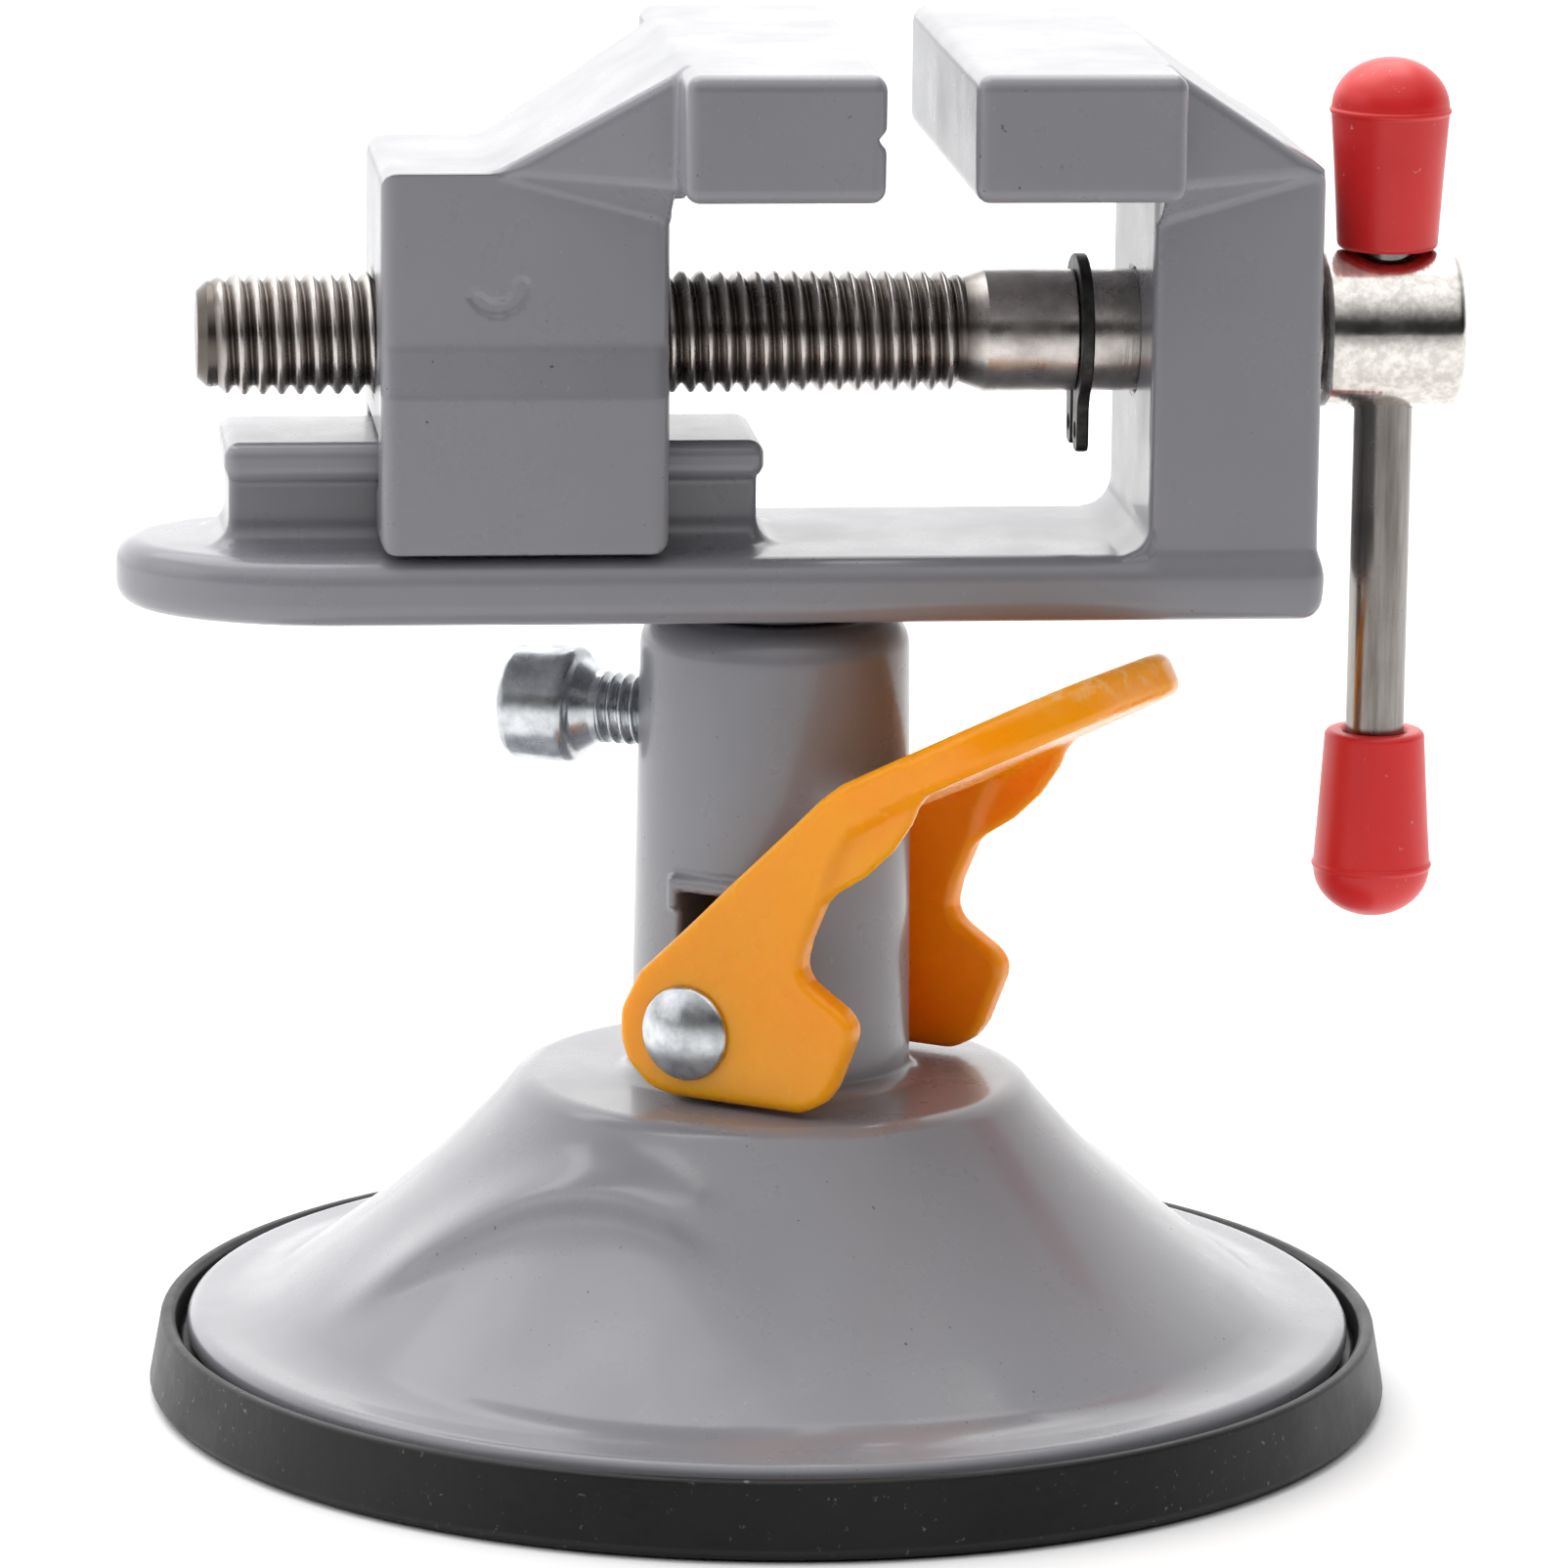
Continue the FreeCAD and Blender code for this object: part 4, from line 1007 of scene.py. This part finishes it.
def zinc_plate():
    f = Finish("zinc plate")
    bloom = f.noise(500, 4, 0.6)
    colour = f.blend(f.span(bloom, 0.35, 0.65), (0.40, 0.42, 0.44), (0.66, 0.68, 0.70))
    rough = f.span(f.noise(260, 3, 0.5), 0.3, 0.7, 0.20, 0.36)
    marks = f.bump(f.noise(900, 3, 0.5), 0.10, 0.00004)
    return f.wear(Base_Color=colour, Roughness=rough, Normal=marks, Metallic=1.0)


def black_steel():
    f = Finish("black phosphate")
    colour = f.blend(f.span(f.noise(900, 3, 0.6), 0.35, 0.7), (0.012, 0.012, 0.012), (0.05, 0.046, 0.042))
    rough = f.span(f.noise(700, 3, 0.5), 0.3, 0.7, 0.35, 0.5)
    marks = f.bump(f.noise(1200, 2, 0.5), 0.2, 0.00005)
    return f.wear(Base_Color=colour, Roughness=rough, Normal=marks, Metallic=0.5)


def plain_steel():
    f = Finish("plain steel")
    colour = f.blend(f.span(f.noise(400, 3, 0.6), 0.35, 0.65), (0.30, 0.29, 0.28), (0.46, 0.45, 0.44))
    rough = f.span(f.noise(500, 3, 0.5), 0.3, 0.7, 0.3, 0.45)
    marks = f.bump(f.noise(900, 2, 0.5), 0.15, 0.00005)
    return f.wear(Base_Color=colour, Roughness=rough, Normal=marks, Metallic=1.0)


def paint(obj, material):
    obj.data.materials.clear()
    obj.data.materials.append(material)


FINISHES = {
    "grey_paint": grey_paint(),
    "cup_rubber": cup_rubber(),
    "orange_plastic": orange_plastic(),
    "red_caps": red_caps(),
    "screw_steel": screw_steel(),
    "bar_steel": bar_steel(),
    "zinc_plate": zinc_plate(),
    "black_steel": black_steel(),
    "plain_steel": plain_steel(),
}

# name of the CAD node, how it is made, the body it rides and its finish
PIECES = [
    ("dome_base", dome_base, "base", "grey_paint"),
    ("lever_pin", lever_pin, "stem", "zinc_plate"),
    ("cam_lever", cam_lever, "lever", "orange_plastic"),
    ("vise_frame", vise_frame, "head", "grey_paint"),
    ("moving_jaw", moving_jaw, "jaw", "grey_paint"),
    ("lead_screw", lead_screw, "screw", "screw_steel"),
    ("circlip", circlip, "screw", "black_steel"),
    ("t_bar", t_bar, "bar", "bar_steel"),
    ("cap_upper", lambda: cap("cap_upper_red", CAP_UPPER_Z, 1), "bar", "red_caps"),
    ("cap_lower", lambda: cap("cap_lower_red", CAP_LOWER_Z, -1), "bar", "red_caps"),
    ("clamp_screw", clamp_screw, "clamp", "zinc_plate"),
]

for node_name, make, body, slot_name in PIECES:
    made = make()
    paint(made, FINISHES[slot_name])
    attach(made, body)
    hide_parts(node_name)

# the cup rides no body, so its web, lip and hub all stay on the bench
cup = suction_cup()
paint(cup, FINISHES["cup_rubber"])
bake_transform(cup)
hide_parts("suction_cup")
paint(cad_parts["cup_stem"], FINISHES["plain_steel"])


# ---- floor, light and camera ------------------------------------------

# metres; the pale floor turns grey towards the front of the studio as painted shade, and lies just under
# the cup
FLOOR_HALF = 4.0
FLOOR_DROP = 0.0002
FLOOR_SHADE_Y = (-0.60, -0.14)


def floor():
    mesh = bpy.data.meshes.new("floor")
    r = FLOOR_HALF
    mesh.from_pydata([(-r, -r, 0), (r, -r, 0), (r, r, 0), (-r, r, 0)], [], [(0, 1, 2, 3)])
    made = bpy.data.objects.new("floor", mesh)
    bpy.context.scene.collection.objects.link(made)
    made.location.z = -FLOOR_DROP
    f = Finish("floor")
    cloud = f.blend(f.noise(1.5, 2, 0.5), (0.93, 0.93, 0.93), (0.95, 0.95, 0.95))
    # painted shade: the floor's colour turns grey towards the front
    lit = f.span(f.axis(1), FLOOR_SHADE_Y[0], FLOOR_SHADE_Y[1])
    cloud = f.blend(lit, (0.52, 0.52, 0.52), cloud)
    f.wear(Base_Color=cloud, Roughness=0.9)
    mesh.materials.append(f.material)


# each ramp is from, to, value at from and value at to, along one axis of the sky: upwards for
# SKY_FRONT and SKY_BACKDROP, to the back for SKY_BEHIND and to the right for SKY_SIDE;
# SKY_BACK is the strength of the part behind the object
SKY_FRONT = (0.25, 0.97, 0.03, 1.9)
SKY_BEHIND = (-0.35, 0.75, 0.0, 1.0)
SKY_SIDE = (0.10, 0.90, 1.0, 0.55)
SKY_BACK = 2.3
SKY_BACKDROP = (0.45, 0.95, 1.0, 0.0)


def sky():
    world = bpy.data.worlds.new("studio")
    bpy.context.scene.world = world
    world.use_nodes = True
    tree = world.node_tree
    tree.nodes.clear()
    coord = tree.nodes.new("ShaderNodeTexCoord")
    split = tree.nodes.new("ShaderNodeSeparateXYZ")
    tree.links.new(coord.outputs["Generated"], split.inputs[0])

    def span(source, numbers):
        made = tree.nodes.new("ShaderNodeMapRange")
        made.interpolation_type = "SMOOTHSTEP"
        for key, number in zip(SPAN_SOCKETS, numbers):
            made.inputs[key].default_value = number
        tree.links.new(source, made.inputs["Value"])
        return made.outputs["Result"]

    def combine(operation, a, b):
        made = tree.nodes.new("ShaderNodeMath")
        made.operation = operation
        for socket, value in zip(made.inputs, (a, b)):
            if isinstance(value, float):
                socket.default_value = value
            else:
                tree.links.new(value, socket)
        return made.outputs[0]

    front = span(split.outputs[2], SKY_FRONT)
    backdrop = span(split.outputs[2], SKY_BACKDROP)
    behind = combine("MULTIPLY", span(split.outputs[1], SKY_BEHIND), backdrop)
    side = span(split.outputs[0], SKY_SIDE)
    gap = combine("SUBTRACT", SKY_BACK, front)
    strength = combine("ADD", front, combine("MULTIPLY", gap, behind))
    strength = combine("MULTIPLY", strength, side)
    glow = tree.nodes.new("ShaderNodeBackground")
    tree.links.new(strength, glow.inputs["Strength"])
    out = tree.nodes.new("ShaderNodeOutputWorld")
    tree.links.new(glow.outputs[0], out.inputs[0])


def softbox(name, place, aim, size, power):
    """A rectangular light; place, aim and size in metres, power in watts."""
    light = bpy.data.lights.new(name, "AREA")
    light.shape = "RECTANGLE"
    light.size, light.size_y = size
    light.energy = power
    made = bpy.data.objects.new(name, light)
    bpy.context.scene.collection.objects.link(made)
    made.location = place
    made.rotation_mode = "QUATERNION"
    made.rotation_quaternion = (Vector(aim) - Vector(place)).to_track_quat("-Z", "Y")


# angles in radians, distance and aim in millimetres, lens on a 36 mm sensor
CAMERA_AZ = -0.1028
CAMERA_EL = 0.2116
CAMERA_ROLL = 0.0120
CAMERA_D = 726.63
CAMERA_AIM = (0.878, 49.058)
CAMERA_LENS = 204.19
CAMERA_SENSOR = 36.0


def camera():
    az, el = CAMERA_AZ, CAMERA_EL
    right = Vector((math.cos(az), math.sin(az), 0))
    back = Vector((math.sin(az) * math.cos(el), -math.cos(az) * math.cos(el), math.sin(el)))
    up = back.cross(right)
    across = right * math.cos(CAMERA_ROLL) + up * math.sin(CAMERA_ROLL)
    rise = up * math.cos(CAMERA_ROLL) - right * math.sin(CAMERA_ROLL)
    aim = right * CAMERA_AIM[0] + Vector((0, 0, CAMERA_AIM[1]))
    data = bpy.data.cameras.new("camera")
    data.sensor_width = CAMERA_SENSOR
    data.lens = CAMERA_LENS
    data.clip_start, data.clip_end = 0.01, 20.0
    made = bpy.data.objects.new("camera", data)
    bpy.context.scene.collection.objects.link(made)
    turn = Matrix((across, rise, back)).transposed()
    made.rotation_mode = "QUATERNION"
    made.rotation_quaternion = turn.to_quaternion()
    made.location = (aim + back * CAMERA_D + Vector((0, 0, ROW_LIFT))) * MM
    bpy.context.scene.camera = made


floor()
sky()
softbox("top box", (-0.1, 0.35, 0.9), (0, 0, 0.05), (1.1, 0.8), 6.0)
softbox("left box", (-0.7, -0.15, 0.35), (0, 0, 0.06), (0.5, 0.5), 0.9)
camera()
scene = bpy.context.scene
scene.view_settings.view_transform = "Standard"
scene.view_settings.look = "None"
